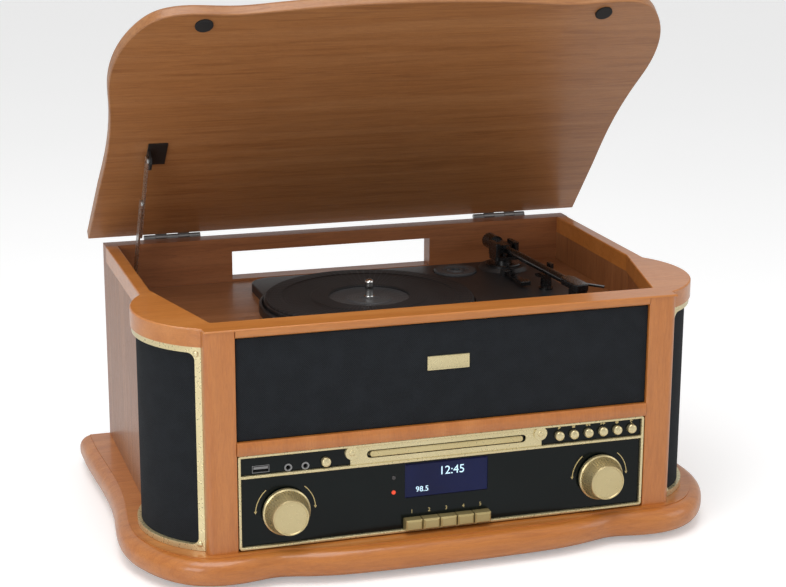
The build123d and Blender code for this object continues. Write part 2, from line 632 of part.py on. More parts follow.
with BuildPart() as turntable_chassis:
    with BuildSketch(level(deck_z)):
        with Locations(((chassis_left + chassis_right) / 2, (chassis_front + chassis_rear) / 2)):
            RectangleRounded(chassis_right - chassis_left, chassis_rear - chassis_front, 20)
        with Locations((platter_x, platter_y)):
            Circle(chassis_disc)
    extrude(amount=chassis_top - deck_z)
    fillet(turntable_chassis.faces().sort_by(Axis.Z)[-1].edges(), 1.5)
    with BuildSketch(level(recess_bottom)):
        with Locations((platter_x, platter_y)):
            Circle(recess_radius)
    extrude(amount=chassis_top, mode=Mode.SUBTRACT)
    with BuildSketch(level(chassis_top)):
        with Locations((arm_x, arm_y)):
            Circle(mound_radius + 5)
    extrude(amount=mound_top - chassis_top, taper=45)
    with BuildSketch(level(deck_bottom)):
        with Locations((platter_x, platter_y)):
            Circle(bearing_radius)
    extrude(amount=recess_bottom - deck_bottom)
    with BuildSketch(level(spindle_bottom)):
        with Locations((platter_x, platter_y)):
            Circle(spindle_foot + touch / 2)
    extrude(amount=chassis_top, mode=Mode.SUBTRACT)
    with BuildSketch(level(deck_z)):
        with Locations((motor_x, motor_y)):
            Circle(pulley_shaft + 1.5)
    extrude(amount=chassis_top, mode=Mode.SUBTRACT)
    with BuildSketch(level(adapter_bottom)):
        with Locations((adapter_x, adapter_y)):
            Circle(adapter_radius + 0.4)
    extrude(amount=chassis_top, mode=Mode.SUBTRACT)
    with BuildSketch(level(adapter_bottom - 1.5)):
        with Locations((switch_x + switch_travel / 2, switch_y)):
            Rectangle(switch_travel + 5.0 + 2 * running, 5.0)
    extrude(amount=chassis_top, mode=Mode.SUBTRACT)
    for ear_x in ((cue_x - 5.6, cue_x - 3.8), (cue_x + 3.8, cue_x + 5.6)):
        block(ear_x, (cue_rear - 3, cue_rear + 3), (chassis_top, cue_z + 2.6))
    with BuildSketch(side(cue_x - 4)):
        with Locations((cue_rear, cue_z)):
            Circle(cue_pin)
    extrude(amount=8)
save(turntable_chassis, "turntable_chassis")

# Spindle: polished pin with a round nose, fixed in the chassis boss. Its foot is
# the platter's bearing, and the thinner upper length centres a record.
with BuildPart() as spindle:
    with BuildSketch(level(spindle_bottom)):
        with Locations((platter_x, platter_y)):
            Circle(spindle_foot)
    extrude(amount=spindle_step - spindle_bottom)
    with BuildSketch(level(spindle_step)):
        with Locations((platter_x, platter_y)):
            Circle(spindle_radius)
    extrude(amount=spindle_top - spindle_step)
    fillet(spindle.edges().sort_by(Axis.Z)[-1], spindle_nose)
save(spindle, "spindle")


def turned(x, y, points):
    """Turned solid about an upright axis from radius and height pairs."""
    with BuildSketch(Plane(origin=(x, front_y + y, 0), x_dir=(1, 0, 0), z_dir=(0, -1, 0))) as half:
        with BuildLine():
            Polyline(*points, close=True)
        make_face()
    revolve(half.sketch, axis=Axis((x, front_y + y, 0), (0, 0, 1)))


# Platter: pressed disc with a turned-down skirt, a rim under it for the belt,
# a dished label ring and a hub that turns on the spindle.
platter_top, belt_rim = 171.0, 55.0
hub_radius, bore = 9.0, spindle_foot + touch
with BuildPart() as platter:
    turned(platter_x, platter_y,
           [(bore, recess_bottom + 0.3), (hub_radius, recess_bottom + 0.3), (hub_radius, platter_top - 3),
            (belt_rim - 2.5, platter_top - 3), (belt_rim - 2.5, recess_bottom + 0.7), (belt_rim, recess_bottom + 0.7),
            (belt_rim, platter_top - 2.4), (platter_radius - 4, platter_top - 2.4),
            (platter_radius - 4, platter_top - 5.6), (platter_radius - 0.8, platter_top - 5.6),
            (platter_radius, platter_top - 4.6), (platter_radius, platter_top - 0.9),
            (platter_radius - 0.9, platter_top), (33.0, platter_top), (31.5, platter_top - 0.6),
            (20.0, platter_top - 1.2), (18.0, platter_top), (8.0, platter_top), (6.0, platter_top + 1.0),
            (bore, platter_top + 1.0)])
save(platter, "platter")

# Platter mat: soft ring with a stepped edge and two shallow circular steps.
mat_top, mat_hole = 173.0, 33.5
groove_outer, groove_inner = platter_radius - 14.0, 48.2
with BuildPart() as platter_mat:
    turned(platter_x, platter_y,
           [(mat_hole, platter_top), (platter_radius - 1.0, platter_top), (platter_radius - 1.0, mat_top - 0.8),
            (platter_radius - 1.8, mat_top), (groove_outer, mat_top), (groove_outer - 0.8, mat_top - 0.5),
            (groove_inner + 0.8, mat_top - 0.5), (groove_inner, mat_top), (mat_hole + 0.8, mat_top),
            (mat_hole, mat_top - 0.8)])
save(platter_mat, "platter_mat")

# Motor under the deck: round can with two screw ears, bored for the shaft.
motor_bottom, shaft_bottom = 132.0, 150.0
with BuildPart() as platter_motor:
    with BuildSketch(level(motor_bottom)):
        with Locations((motor_x, motor_y)):
            Circle(motor_radius)
    extrude(amount=deck_z - motor_bottom)
    fillet(platter_motor.edges().sort_by(Axis.Z)[0], 2.0)
    with BuildSketch(level(deck_bottom - 2.0)):
        with Locations((motor_x, motor_y)):
            SlotOverall(4 * motor_radius - 10, 14, rotation=30)
    extrude(amount=2.0)
    with BuildSketch(level(shaft_bottom - 0.5)):
        with Locations((motor_x, motor_y)):
            Circle(pulley_shaft + touch)
    extrude(amount=deck_z, mode=Mode.SUBTRACT)
save(platter_motor, "platter_motor")

# Motor pulley: crowned brass wheel on the motor's shaft.
pulley_radius = 6.0
belt_bottom, belt_height, belt_thickness = 164.2, 3.0, 0.8
with BuildPart() as motor_pulley:
    turned(motor_x, motor_y,
           [(0, shaft_bottom), (pulley_shaft, shaft_bottom), (pulley_shaft, recess_bottom + 0.3),
            (pulley_radius, recess_bottom + 0.3), (pulley_radius, belt_bottom + belt_height + 0.6),
            (2.5, belt_bottom + belt_height + 0.6), (2.5, belt_bottom + belt_height + 0.9),
            (0, belt_bottom + belt_height + 0.9)])
save(motor_pulley, "motor_pulley")

# Belt: flat rubber loop round the platter's rim and the pulley.
with BuildPart() as drive_belt:
    with BuildSketch(level(belt_bottom)):
        with Locations((platter_x, platter_y)):
            Circle(belt_rim + running + belt_thickness)
        with Locations((motor_x, motor_y)):
            Circle(pulley_radius + running + belt_thickness)
        make_hull()
        with BuildSketch(mode=Mode.SUBTRACT):
            with Locations((platter_x, platter_y)):
                Circle(belt_rim + running)
            with Locations((motor_x, motor_y)):
                Circle(pulley_radius + running)
            make_hull()
    extrude(amount=belt_height)
save(drive_belt, "drive_belt")

# Adapter for large-hole records, lying in its recess behind the platter.
with BuildPart() as adapter_45:
    turned(adapter_x, adapter_y,
           [(bore, adapter_bottom), (adapter_radius - 0.8, adapter_bottom), (adapter_radius, adapter_bottom + 0.8),
            (adapter_radius, adapter_bottom + 3.2), (adapter_radius - 1.0, adapter_bottom + 4.0),
            (12.0, adapter_bottom + 4.0), (10.5, adapter_bottom + 2.8), (7.5, adapter_bottom + 2.8),
            (6.5, adapter_bottom + 4.0), (bore, adapter_bottom + 4.0)])
save(adapter_45, "adapter_45")

# Speed switch: small lever in a slot at the front of the chassis.
with BuildPart() as speed_switch:
    with BuildSketch(level(adapter_bottom - 1.5)):
        with Locations((switch_x, switch_y)):
            Rectangle(5.0, 4.4)
    extrude(amount=chassis_top - adapter_bottom + 1.5 + running)
    with BuildSketch(level(chassis_top + running)):
        with Locations((switch_x, switch_y)):
            Rectangle(6.0, 10.0)
    extrude(amount=4.0, taper=12)
save(speed_switch, "speed_switch")

# Tonearm base: turned post on the mound with the pin that the arm swings on.
post_radius, post_top, swing_pin, swing_pin_height = 7.5, 176.0, 2.5, 4.4
with BuildPart() as tonearm_base:
    turned(arm_x, arm_y,
           [(0, mound_top), (16.0, mound_top), (16.0, mound_top + 1.2), (15.2, mound_top + 2.0),
            (post_radius, mound_top + 2.0), (post_radius, post_top), (swing_pin, post_top),
            (swing_pin, post_top + swing_pin_height), (0, post_top + swing_pin_height)])
save(tonearm_base, "tonearm_base")

# The parked arm points forwards and a little to the right. On arm_level, local
# X runs along the arm from the pivot and local Y points to its right.
arm_length = 152.0
rest_run = hypot(rest_x - arm_x, rest_y - arm_y)
arm_dir = ((rest_x - arm_x) / rest_run, (rest_y - arm_y) / rest_run)


def arm_level(z):
    """Horizontal plane at height z over the arm's pivot, X along the parked arm."""
    return Plane(origin=(arm_x, front_y + arm_y, z), x_dir=(arm_dir[0], arm_dir[1], 0), z_dir=(0, 0, 1))


def arm_section(distance):
    """Plane across the arm at a distance from the pivot; local X is up."""
    return Plane(origin=(arm_x + arm_dir[0] * distance, front_y + arm_y + arm_dir[1] * distance, arm_z),
                 x_dir=(0, 0, 1), z_dir=(arm_dir[0], arm_dir[1], 0))


# Gimbal: turning base with two uprights that hold the arm's lift pins.
gimbal_inner, gimbal_outer, lift_pin, pin_reach = 7.0, 11.0, 1.2, 2.2
gimbal_bottom = post_top + running
cross = Plane(origin=(arm_x, front_y + arm_y, arm_z), x_dir=(arm_dir[0], arm_dir[1], 0),
              z_dir=(arm_dir[1], -arm_dir[0], 0))
with BuildPart() as tonearm_gimbal:
    with BuildSketch(arm_level(gimbal_bottom)):
        RectangleRounded(18, 2 * gimbal_outer, 3)
        Circle(swing_pin + touch, mode=Mode.SUBTRACT)
    extrude(amount=3.2)
    with BuildSketch(arm_level(gimbal_bottom + 3.2)):
        with Locations((0, (gimbal_inner + gimbal_outer) / 2), (0, -(gimbal_inner + gimbal_outer) / 2)):
            RectangleRounded(18, gimbal_outer - gimbal_inner, 1.2)
    extrude(amount=arm_z + 6 - gimbal_bottom - 3.2)
    with BuildSketch(cross.offset(-gimbal_outer + 1)):
        Circle(lift_pin)
    extrude(amount=gimbal_outer - 1 - gimbal_inner + pin_reach)
    with BuildSketch(cross.offset(gimbal_outer - 1)):
        Circle(lift_pin)
    extrude(amount=-(gimbal_outer - 1 - gimbal_inner + pin_reach))
save(tonearm_gimbal, "tonearm_gimbal")

# Tonearm: moulded arm with a pivot block, a straight tube and a rear weight.
tube_radius, weight_radius, weight_front, weight_rear = 3.5, 7.0, -16.0, -33.0
block_half = gimbal_inner - running
with BuildPart() as tonearm:
    with BuildSketch(arm_section(weight_front - 1)):
        Rectangle(8.0, 8.0)
    extrude(amount=8 - weight_front)
    with BuildSketch(arm_level(arm_z - 4.0)):
        RectangleRounded(12, 2 * block_half, 2)
    extrude(amount=8.0)
    with BuildSketch(arm_section(5)):
        Circle(tube_radius)
    extrude(amount=arm_length - 34)
    with BuildSketch(arm_section(weight_rear)):
        Circle(weight_radius)
    extrude(amount=weight_front - weight_rear)
    fillet(tonearm.faces().sort_by(Axis.Y)[-1].edges(), 1.5)
    with BuildSketch(cross.offset(-block_half)):
        Circle(lift_pin + touch)
    extrude(amount=2 * block_half, mode=Mode.SUBTRACT)
save(tonearm, "tonearm")

# Headshell: wedge that carries the cartridge, with the finger lift beside it.
shell_rear, shell_front = arm_length - 29, arm_length + 4
with BuildPart() as headshell:
    with BuildSketch(arm_level(arm_z - 1.5)):
        with BuildLine():
            Polyline((shell_rear, 4), (shell_rear + 6, 6.5), (shell_front - 3, 6.5), (shell_front, 4.5),
                     (shell_front, -4.5), (shell_front - 3, -6.5), (shell_rear + 6, -6.5), (shell_rear, -4), close=True)
        make_face()
    extrude(amount=5.5)
    fillet(headshell.faces().sort_by(Axis.Z)[-1].edges(), 1.2)
    with BuildSketch(arm_level(arm_z - 8.0)):
        with Locations((arm_length - 5, 0)):
            Rectangle(16, 9)
    extrude(amount=6.5)
    with BuildSketch(arm_level(arm_z - 9.6)):
        with Locations((arm_length, 0)):
            Rectangle(4, 2.4)
    extrude(amount=1.6, taper=-20)
    with BuildSketch(arm_level(arm_z + 0.5)):
        with BuildLine():
            Polyline((shell_front - 12, 5), (shell_front + 4, 17), (shell_front + 1.5, 19), (shell_front - 16, 6),
                     close=True)
        make_face()
    extrude(amount=1.5)
save(headshell, "headshell")

# Arm rest: post with a cradle under the tube and a wall on its outer side, open
# towards the platter.
cradle_z = arm_z - tube_radius - 1.0
with BuildPart() as arm_rest:
    with BuildSketch(arm_level(chassis_top)):
        with Locations((rest_run, 3)):
            Circle(6)
    extrude(amount=1.6)
    with BuildSketch(arm_level(chassis_top)):
        with Locations((rest_run, 3)):
            Rectangle(5, 8)
    extrude(amount=cradle_z - 2 - chassis_top)
    with BuildSketch(arm_level(cradle_z - 2)):
        with Locations((rest_run, 1.0)):
            Rectangle(7, 14)
    extrude(amount=2)
    with BuildSketch(arm_level(cradle_z)):
        with Locations((rest_run, 6.5)):
            Rectangle(7, 3)
    extrude(amount=9)
save(arm_rest, "arm_rest")

# Cueing lever: flat lever left of the arm, hinged at its rear end between two
# small ears of its own mount on the chassis.
with BuildPart() as cue_lever:
    block((cue_x - 3.5, cue_x + 3.5), (cue_front, cue_rear + 2), (cue_z - 1.2, cue_z + 1.2))
    block((cue_x - 4.5, cue_x + 4.5), (cue_front - 4, cue_front + 6), (cue_z - 1.2, cue_z + 2.2))
    chamfer(cue_lever.edges().filter_by(Axis.X).group_by(Axis.Z)[-1], 0.6)
    with BuildSketch(side(cue_x - 3.5)):
        with Locations((cue_rear, cue_z)):
            Circle(2.4)
    extrude(amount=7)
    with BuildSketch(side(cue_x - 3.5)):
        with Locations((cue_rear, cue_z)):
            Circle(cue_pin + touch)
    extrude(amount=7, mode=Mode.SUBTRACT)
save(cue_lever, "cue_lever")

# Lid. It turns on an axis behind the back panel and stands open at lid_angle.
# Sketches on lid_level() use the places that the lid has when it is closed.
lid_angle = 45.5
hinge_y, hinge_z = 302.5, 201.0
lid_gap, lid_thickness = 2.0, 10.5
lid_bottom = rim_z + lid_gap
lid_cos, lid_sin = cos(radians(lid_angle)), sin(radians(lid_angle))
lid_half = [(0, -7.5), (54, -6), (83, -4), (112, -1), (134, 1), (156, 0), (171, -1), (185, 0),
            (199, 5), (213, 20), (223, 42), (227, 62), (227.5, 85), (224, 115), (221.5, 148), (223.5, 225)]
lid_rear_half = 226.5


def tilted(y, z):
    """Place in the open lid of a point at depth y and height z of the closed lid."""
    back, up = y - hinge_y, z - hinge_z
    return (hinge_y + back * lid_cos + up * lid_sin, hinge_z - back * lid_sin + up * lid_cos)


def lid_level(z):
    """Plane of the open lid that lies at height z when the lid is closed."""
    y_open, z_open = tilted(0, z)
    return Plane(origin=(0, front_y + y_open, z_open), x_dir=(1, 0, 0), z_dir=(0, lid_sin, lid_cos))


def lid_side(x):
    """Plane across the lid at X; local X is closed depth and local Y closed height."""
    y_open, z_open = tilted(0, 0)
    return Plane(origin=(x, front_y + y_open, z_open), x_dir=(0, lid_cos, -lid_sin), z_dir=(1, 0, 0))


def lid_block(x, y, z, mode=Mode.ADD):
    """Box in the open lid between the given closed X, Y and Z pairs."""
    with BuildSketch(lid_level(z[0])) as base:
        with Locations(((x[0] + x[1]) / 2, (y[0] + y[1]) / 2)):
            Rectangle(x[1] - x[0], y[1] - y[0])
    extrude(base.sketch, amount=z[1] - z[0], mode=mode)


with BuildPart() as lid:
    with BuildSketch(lid_level(lid_bottom)):
        with BuildLine():
            lid_edge = Spline(*lid_half, tangents=[(1, 0), (0.06, 1)])
            Polyline(lid_edge @ 1, (lid_rear_half, back_y), (0, back_y), lid_edge @ 0)
        make_face()
        mirror(about=Plane.YZ)
    extrude(amount=lid_thickness)
    lid_top = lid.faces().sort_by(Axis((0, 0, 0), (0, lid_sin, lid_cos)))[-1]
    fillet(lid_top.edges(), 3.0)
    lid_under = lid.faces().sort_by(Axis((0, 0, 0), (0, lid_sin, lid_cos)))[0]
    fillet(lid_under.edges(), 1.0)
save(lid, "lid")

# Lid bumpers: soft buttons that meet the front rail when the lid closes.
bumper_x, bumper_y, bumper_radius = 162.0, 12.0, 7.0
with BuildPart() as lid_bumpers:
    with BuildSketch(lid_level(lid_bottom)):
        with Locations((-bumper_x, bumper_y), (bumper_x, bumper_y)):
            Circle(bumper_radius)
    extrude(amount=running - lid_gap)
    fillet(lid_bumpers.faces().sort_by(Axis((0, 0, 0), (0, lid_sin, lid_cos))).group_by(
        Axis((0, 0, 0), (0, lid_sin, lid_cos)))[0].edges(), 0.8)
save(lid_bumpers, "lid_bumpers")

# Hinges: two butt hinges with five knuckles each. The lower leaf is screwed to
# the back panel and holds the pin, the upper one to the lid's rear face.
hinge_x, hinge_width, knuckles = 153.0, 50.0, 5
knuckle_radius, pin_radius, leaf_thickness = 2.2, 1.1, 1.4
leaf_bottom, leaf_clear = 178.0, 2.8
knuckle_pitch = hinge_width / knuckles
leaf_face = back_y + leaf_thickness
with BuildPart() as hinge_body_leaves:
    for hand in (-1, 1):
        start = hand * hinge_x - hinge_width / 2
        block((start, start + hinge_width), (back_y, leaf_face), (leaf_bottom, hinge_z - leaf_clear))
        for i in range(0, knuckles, 2):
            low = start + knuckle_pitch * i + touch
            block((low, low + knuckle_pitch - 2 * touch), (back_y, leaf_face), (hinge_z - leaf_clear, hinge_z))
            with BuildSketch(side(low)):
                with Locations((hinge_y, hinge_z)):
                    Circle(knuckle_radius)
            extrude(amount=knuckle_pitch - 2 * touch)
        with BuildSketch(side(start + touch)):
            with Locations((hinge_y, hinge_z)):
                Circle(pin_radius)
        extrude(amount=hinge_width - 2 * touch)
save(hinge_body_leaves, "hinge_body_leaves")

with BuildPart() as hinge_lid_leaves:
    for hand in (-1, 1):
        start = hand * hinge_x - hinge_width / 2
        lid_block((start, start + hinge_width), (back_y, leaf_face), (hinge_z + leaf_clear, lid_bottom + lid_thickness - 3))
        for i in range(1, knuckles, 2):
            low = start + knuckle_pitch * i + touch
            lid_block((low, low + knuckle_pitch - 2 * touch), (back_y, leaf_face), (hinge_z, hinge_z + leaf_clear))
            with BuildSketch(side(low)):
                with Locations((hinge_y, hinge_z)):
                    Circle(knuckle_radius)
            extrude(amount=knuckle_pitch - 2 * touch)
            with BuildSketch(side(low)):
                with Locations((hinge_y, hinge_z)):
                    Circle(pin_radius + touch)
            extrude(amount=knuckle_pitch - 2 * touch, mode=Mode.SUBTRACT)
save(hinge_lid_leaves, "hinge_lid_leaves")

# Stay: two flat strips side by side that slide along each other. The lower one
# turns on a bracket on the left wall, the upper one on a bracket under the lid.
stay_wall_y, stay_wall_z = 277.0, 172.0
stay_lid_y, stay_lid_z = 175.5, lid_bottom - 8.0
strip_width, strip_thickness, strip_gap = 9.0, 1.5, 0.3
lower_length, upper_length = 86.0, 80.0
stay_wall_gap = 13.4
stay_x = stay_wall_gap - side_inner
rivet_radius = 1.6
lower_x = (stay_x - strip_gap / 2 - strip_thickness, stay_x - strip_gap / 2)
upper_x = (stay_x + strip_gap / 2, stay_x + strip_gap / 2 + strip_thickness)
stay_top_y, stay_top_z = tilted(stay_lid_y, stay_lid_z)
stay_slope = degrees(atan2(stay_top_z - stay_wall_z, stay_top_y - stay_wall_y))


def strip(x, start, length, slope, pin):
    """Flat strip from a pivot along a slope, round at both ends, holed for its pin."""
    reach = (cos(radians(slope)), sin(radians(slope)))
    with BuildSketch(side(x[0])) as shape:
        with Locations((start[0] + reach[0] * length / 2, start[1] + reach[1] * length / 2)):
            SlotCenterToCenter(length, strip_width, rotation=slope)
        with Locations(start):
            Circle(pin, mode=Mode.SUBTRACT)
    extrude(shape.sketch, amount=x[1] - x[0])


with BuildPart() as stay_lower_link:
    strip(lower_x, (stay_wall_y, stay_wall_z), lower_length, stay_slope, rivet_radius + touch)
save(stay_lower_link, "stay_lower_link")

with BuildPart() as stay_upper_link:
    strip(upper_x, (stay_top_y, stay_top_z), upper_length, stay_slope + 180, rivet_radius + touch)
save(stay_upper_link, "stay_upper_link")

with BuildPart() as stay_wall_bracket:
    block((-side_inner, -side_inner + 2), (stay_wall_y - 9, stay_wall_y + 6.8), (stay_wall_z - 8, wall_top - 1))
    with BuildSketch(side(-side_inner)):
        with Locations((stay_wall_y, stay_wall_z)):
            Circle(5.5)
    extrude(amount=side_inner + lower_x[0] - running)
    with BuildSketch(side(-side_inner)):
        with Locations((stay_wall_y, stay_wall_z)):
            Circle(rivet_radius)
    extrude(amount=side_inner + lower_x[1])
save(stay_wall_bracket, "stay_wall_bracket")

ear_x = (upper_x[1] + running, upper_x[1] + running + 2.0)
with BuildPart() as stay_lid_bracket:
    lid_block((ear_x[0], ear_x[0] + 16), (stay_lid_y - 14, stay_lid_y + 14), (lid_bottom - 1.5, lid_bottom))
    lid_block(ear_x, (stay_lid_y - 7, stay_lid_y + 7), (stay_lid_z, lid_bottom))
    with BuildSketch(side(ear_x[0])):
        with Locations((stay_top_y, stay_top_z)):
            Circle(7)
    extrude(amount=ear_x[1] - ear_x[0])
    with BuildSketch(side(upper_x[0])):
        with Locations((stay_top_y, stay_top_z)):
            Circle(rivet_radius)
    extrude(amount=ear_x[1] - upper_x[0])
save(stay_lid_bracket, "stay_lid_bracket")

# Rear sockets: a plate over the hole in the back panel with two round audio
# outlets and the recessed inlet for the mains lead.
outlet_pitch, outlet_radius = 18.0, 4.2
inlet_x, inlet_width, inlet_height = rear_socket_x + 26.0, 21.0, 13.0
plate_thickness = 1.6
with BuildPart() as rear_sockets:
    with BuildSketch(front(back_y + plate_thickness)):
        with Locations((rear_socket_x, rear_socket_z)):
            RectangleRounded(rear_plate_width, rear_plate_height, 3)
    extrude(amount=plate_thickness)
    with BuildSketch(front(back_y)):
        with Locations((rear_socket_x, rear_socket_z)):
            Rectangle(rear_plate_width - 8 - 2 * fit, rear_plate_height - 8 - 2 * fit)
    extrude(amount=14)
    with BuildSketch(front(back_y + 8)):
        with Locations((rear_socket_x - 30, rear_socket_z), (rear_socket_x - 30 + outlet_pitch, rear_socket_z)):
            Circle(outlet_radius)
            Circle(1.7, mode=Mode.SUBTRACT)
    extrude(amount=8)
    with BuildSketch(front(back_y + plate_thickness)):
        with Locations((inlet_x, rear_socket_z)):
            RectangleRounded(inlet_width, inlet_height, 6)
    extrude(amount=12, mode=Mode.SUBTRACT)
    with BuildSketch(front(back_y - 2)):
        with Locations((inlet_x - 4.3, rear_socket_z), (inlet_x + 4.3, rear_socket_z)):
            Circle(1.2)
    extrude(amount=9)
save(rear_sockets, "rear_sockets")
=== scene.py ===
"""Looks of a retro record player in wood veneer, speaker cloth and champagne gold trim."""
import bpy
import math
from mathutils import Matrix, Vector


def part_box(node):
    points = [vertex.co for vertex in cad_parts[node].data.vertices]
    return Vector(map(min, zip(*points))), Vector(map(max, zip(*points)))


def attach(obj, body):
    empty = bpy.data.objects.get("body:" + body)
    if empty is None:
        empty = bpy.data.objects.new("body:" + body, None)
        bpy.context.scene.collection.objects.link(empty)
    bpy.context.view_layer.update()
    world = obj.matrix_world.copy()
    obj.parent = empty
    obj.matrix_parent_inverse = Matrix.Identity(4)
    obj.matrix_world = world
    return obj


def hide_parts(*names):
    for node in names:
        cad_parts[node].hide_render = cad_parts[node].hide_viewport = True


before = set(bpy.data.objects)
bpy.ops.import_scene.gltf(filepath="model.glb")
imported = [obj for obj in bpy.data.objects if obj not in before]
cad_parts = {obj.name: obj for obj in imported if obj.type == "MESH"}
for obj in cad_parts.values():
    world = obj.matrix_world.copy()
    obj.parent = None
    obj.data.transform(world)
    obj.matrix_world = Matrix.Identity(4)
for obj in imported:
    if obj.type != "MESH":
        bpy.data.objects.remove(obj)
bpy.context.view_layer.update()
front_y = -0.143


# Plinth and feet. The plinth is a thick board with a full round edge, veneered and
# lacquered in orange brown. Four rubber feet are screwed under it.
def tone(red, green, blue):
    """Linear colour of a paint that reads as these 0 to 255 display values."""
    parts = [channel / 255 for channel in (red, green, blue)]
    return tuple(c / 12.92 if c <= 0.04045 else ((c + 0.055) / 1.055) ** 2.4 for c in parts) + (1.0,)


def new_group(name, inputs, outputs):
    """Shader node group with named sockets; returns the group and its two ends."""
    group = bpy.data.node_groups.new(name, "ShaderNodeTree")
    for label, kind, value in inputs:
        socket = group.interface.new_socket(label, in_out="INPUT", socket_type=kind)
        if value is not None:
            socket.default_value = value
    for label, kind in outputs:
        group.interface.new_socket(label, in_out="OUTPUT", socket_type=kind)
    return group, group.nodes.new("NodeGroupInput"), group.nodes.new("NodeGroupOutput")


def noise(tree, vector, scale, detail=3.0, rough=0.5, distortion=0.0):
    """Noise texture node read at the given vector socket."""
    node = tree.nodes.new("ShaderNodeTexNoise")
    node.inputs["Scale"].default_value = scale
    node.inputs["Detail"].default_value = detail
    node.inputs["Roughness"].default_value = rough
    node.inputs["Distortion"].default_value = distortion
    tree.links.new(vector, node.inputs["Vector"])
    return node.outputs["Fac"]


def span(tree, value, low, high, to_low=0.0, to_high=1.0):
    """Map a value from one range to another, clamped at both ends."""
    node = tree.nodes.new("ShaderNodeMapRange")
    for label, number in (("From Min", low), ("From Max", high), ("To Min", to_low), ("To Max", to_high)):
        node.inputs[label].default_value = number
    tree.links.new(value, node.inputs["Value"])
    return node.outputs["Result"]


def join_value(tree, operation, first, second):
    """Math node on a socket and a socket or number."""
    node = tree.nodes.new("ShaderNodeMath")
    node.operation = operation
    tree.links.new(first, node.inputs[0])
    if isinstance(second, (int, float)):
        node.inputs[1].default_value = second
    else:
        tree.links.new(second, node.inputs[1])
    return node.outputs[0]


def blend_colour(tree, share, first, second):
    """Mix two colours, each a socket or a value, by a share socket."""
    node = tree.nodes.new("ShaderNodeMix")
    node.data_type = "RGBA"
    tree.links.new(share, node.inputs[0])
    for socket, colour in ((node.inputs[6], first), (node.inputs[7], second)):
        if isinstance(colour, tuple):
            socket.default_value = colour
        else:
            tree.links.new(colour, socket)
    return node.outputs[2]


grain_group, grain_in, grain_out = new_group(
    "wood_grain",
    [("Vector", "NodeSocketVector", None), ("Base", "NodeSocketColor", tone(170, 100, 50)),
     ("Dark", "NodeSocketColor", tone(110, 60, 30)), ("Light", "NodeSocketColor", tone(200, 130, 80)),
     ("Figure", "NodeSocketFloat", 0.6), ("Pores", "NodeSocketFloat", 0.5)],
    [("Color", "NodeSocketColor"), ("Roughness", "NodeSocketFloat"), ("Height", "NodeSocketFloat")])
broad = noise(grain_group, grain_in.outputs["Vector"], 7.0, 2.0, 0.5, 0.6)
figure = noise(grain_group, grain_in.outputs["Vector"], 26.0, 4.0, 0.62, 1.2)
fibres = noise(grain_group, grain_in.outputs["Vector"], 150.0, 5.0, 0.7)
pores = noise(grain_group, grain_in.outputs["Vector"], 330.0, 2.0, 0.5)
figure_share = join_value(grain_group, "MULTIPLY", span(grain_group, figure, 0.44, 0.66),
                          grain_in.outputs["Figure"])
with_dark = blend_colour(grain_group, figure_share, grain_in.outputs["Base"], grain_in.outputs["Dark"])
light_share = join_value(grain_group, "MULTIPLY", span(grain_group, broad, 0.45, 0.75), 0.55)
with_light = blend_colour(grain_group, light_share, with_dark, grain_in.outputs["Light"])
fibre_share = join_value(grain_group, "MULTIPLY", span(grain_group, fibres, 0.40, 0.68), 0.30)
with_fibres = blend_colour(grain_group, fibre_share, with_light, grain_in.outputs["Dark"])
pore_share = join_value(grain_group, "MULTIPLY", span(grain_group, pores, 0.60, 0.70),
                        grain_in.outputs["Pores"])
with_pores = blend_colour(grain_group, pore_share, with_fibres, grain_in.outputs["Dark"])
grain_group.links.new(with_pores, grain_out.inputs["Color"])
grain_group.links.new(span(grain_group, fibres, 0.3, 0.7, 0.30, 0.42), grain_out.inputs["Roughness"])
grain_group.links.new(join_value(grain_group, "SUBTRACT", fibres, pore_share), grain_out.inputs["Height"])


def new_material(name, roughness=0.5, metallic=0.0, coat=0.0, specular=0.5):
    """Material with a Principled shader; returns the material, its tree and the shader."""
    material = bpy.data.materials.new(name)
    material.use_nodes = True
    tree = material.node_tree
    shader = tree.nodes["Principled BSDF"]
    shader.inputs["Roughness"].default_value = roughness
    shader.inputs["Metallic"].default_value = metallic
    shader.inputs["Coat Weight"].default_value = coat
    shader.inputs["Coat Roughness"].default_value = 0.12
    shader.inputs["Specular IOR Level"].default_value = specular
    return material, tree, shader


def placed(tree, stretch=(1, 1, 1), centre=(0, 0, 0), turn=(0, 0, 0)):
    """Object coordinates moved to a centre, turned and stretched."""
    coordinates = tree.nodes.new("ShaderNodeTexCoord")
    mapping = tree.nodes.new("ShaderNodeMapping")
    mapping.vector_type = "POINT"
    mapping.inputs["Location"].default_value = [-c * s for c, s in zip(centre, stretch)]
    mapping.inputs["Rotation"].default_value = turn
    mapping.inputs["Scale"].default_value = stretch
    tree.links.new(coordinates.outputs["Object"], mapping.inputs["Vector"])
    return mapping.outputs["Vector"]


def add_bump(tree, shader, height, distance, strength=0.6):
    """Bump from a height socket into the shader's normal."""
    bump = tree.nodes.new("ShaderNodeBump")
    bump.inputs["Strength"].default_value = strength
    bump.inputs["Distance"].default_value = distance
    tree.links.new(height, bump.inputs["Height"])
    tree.links.new(bump.outputs["Normal"], shader.inputs["Normal"])


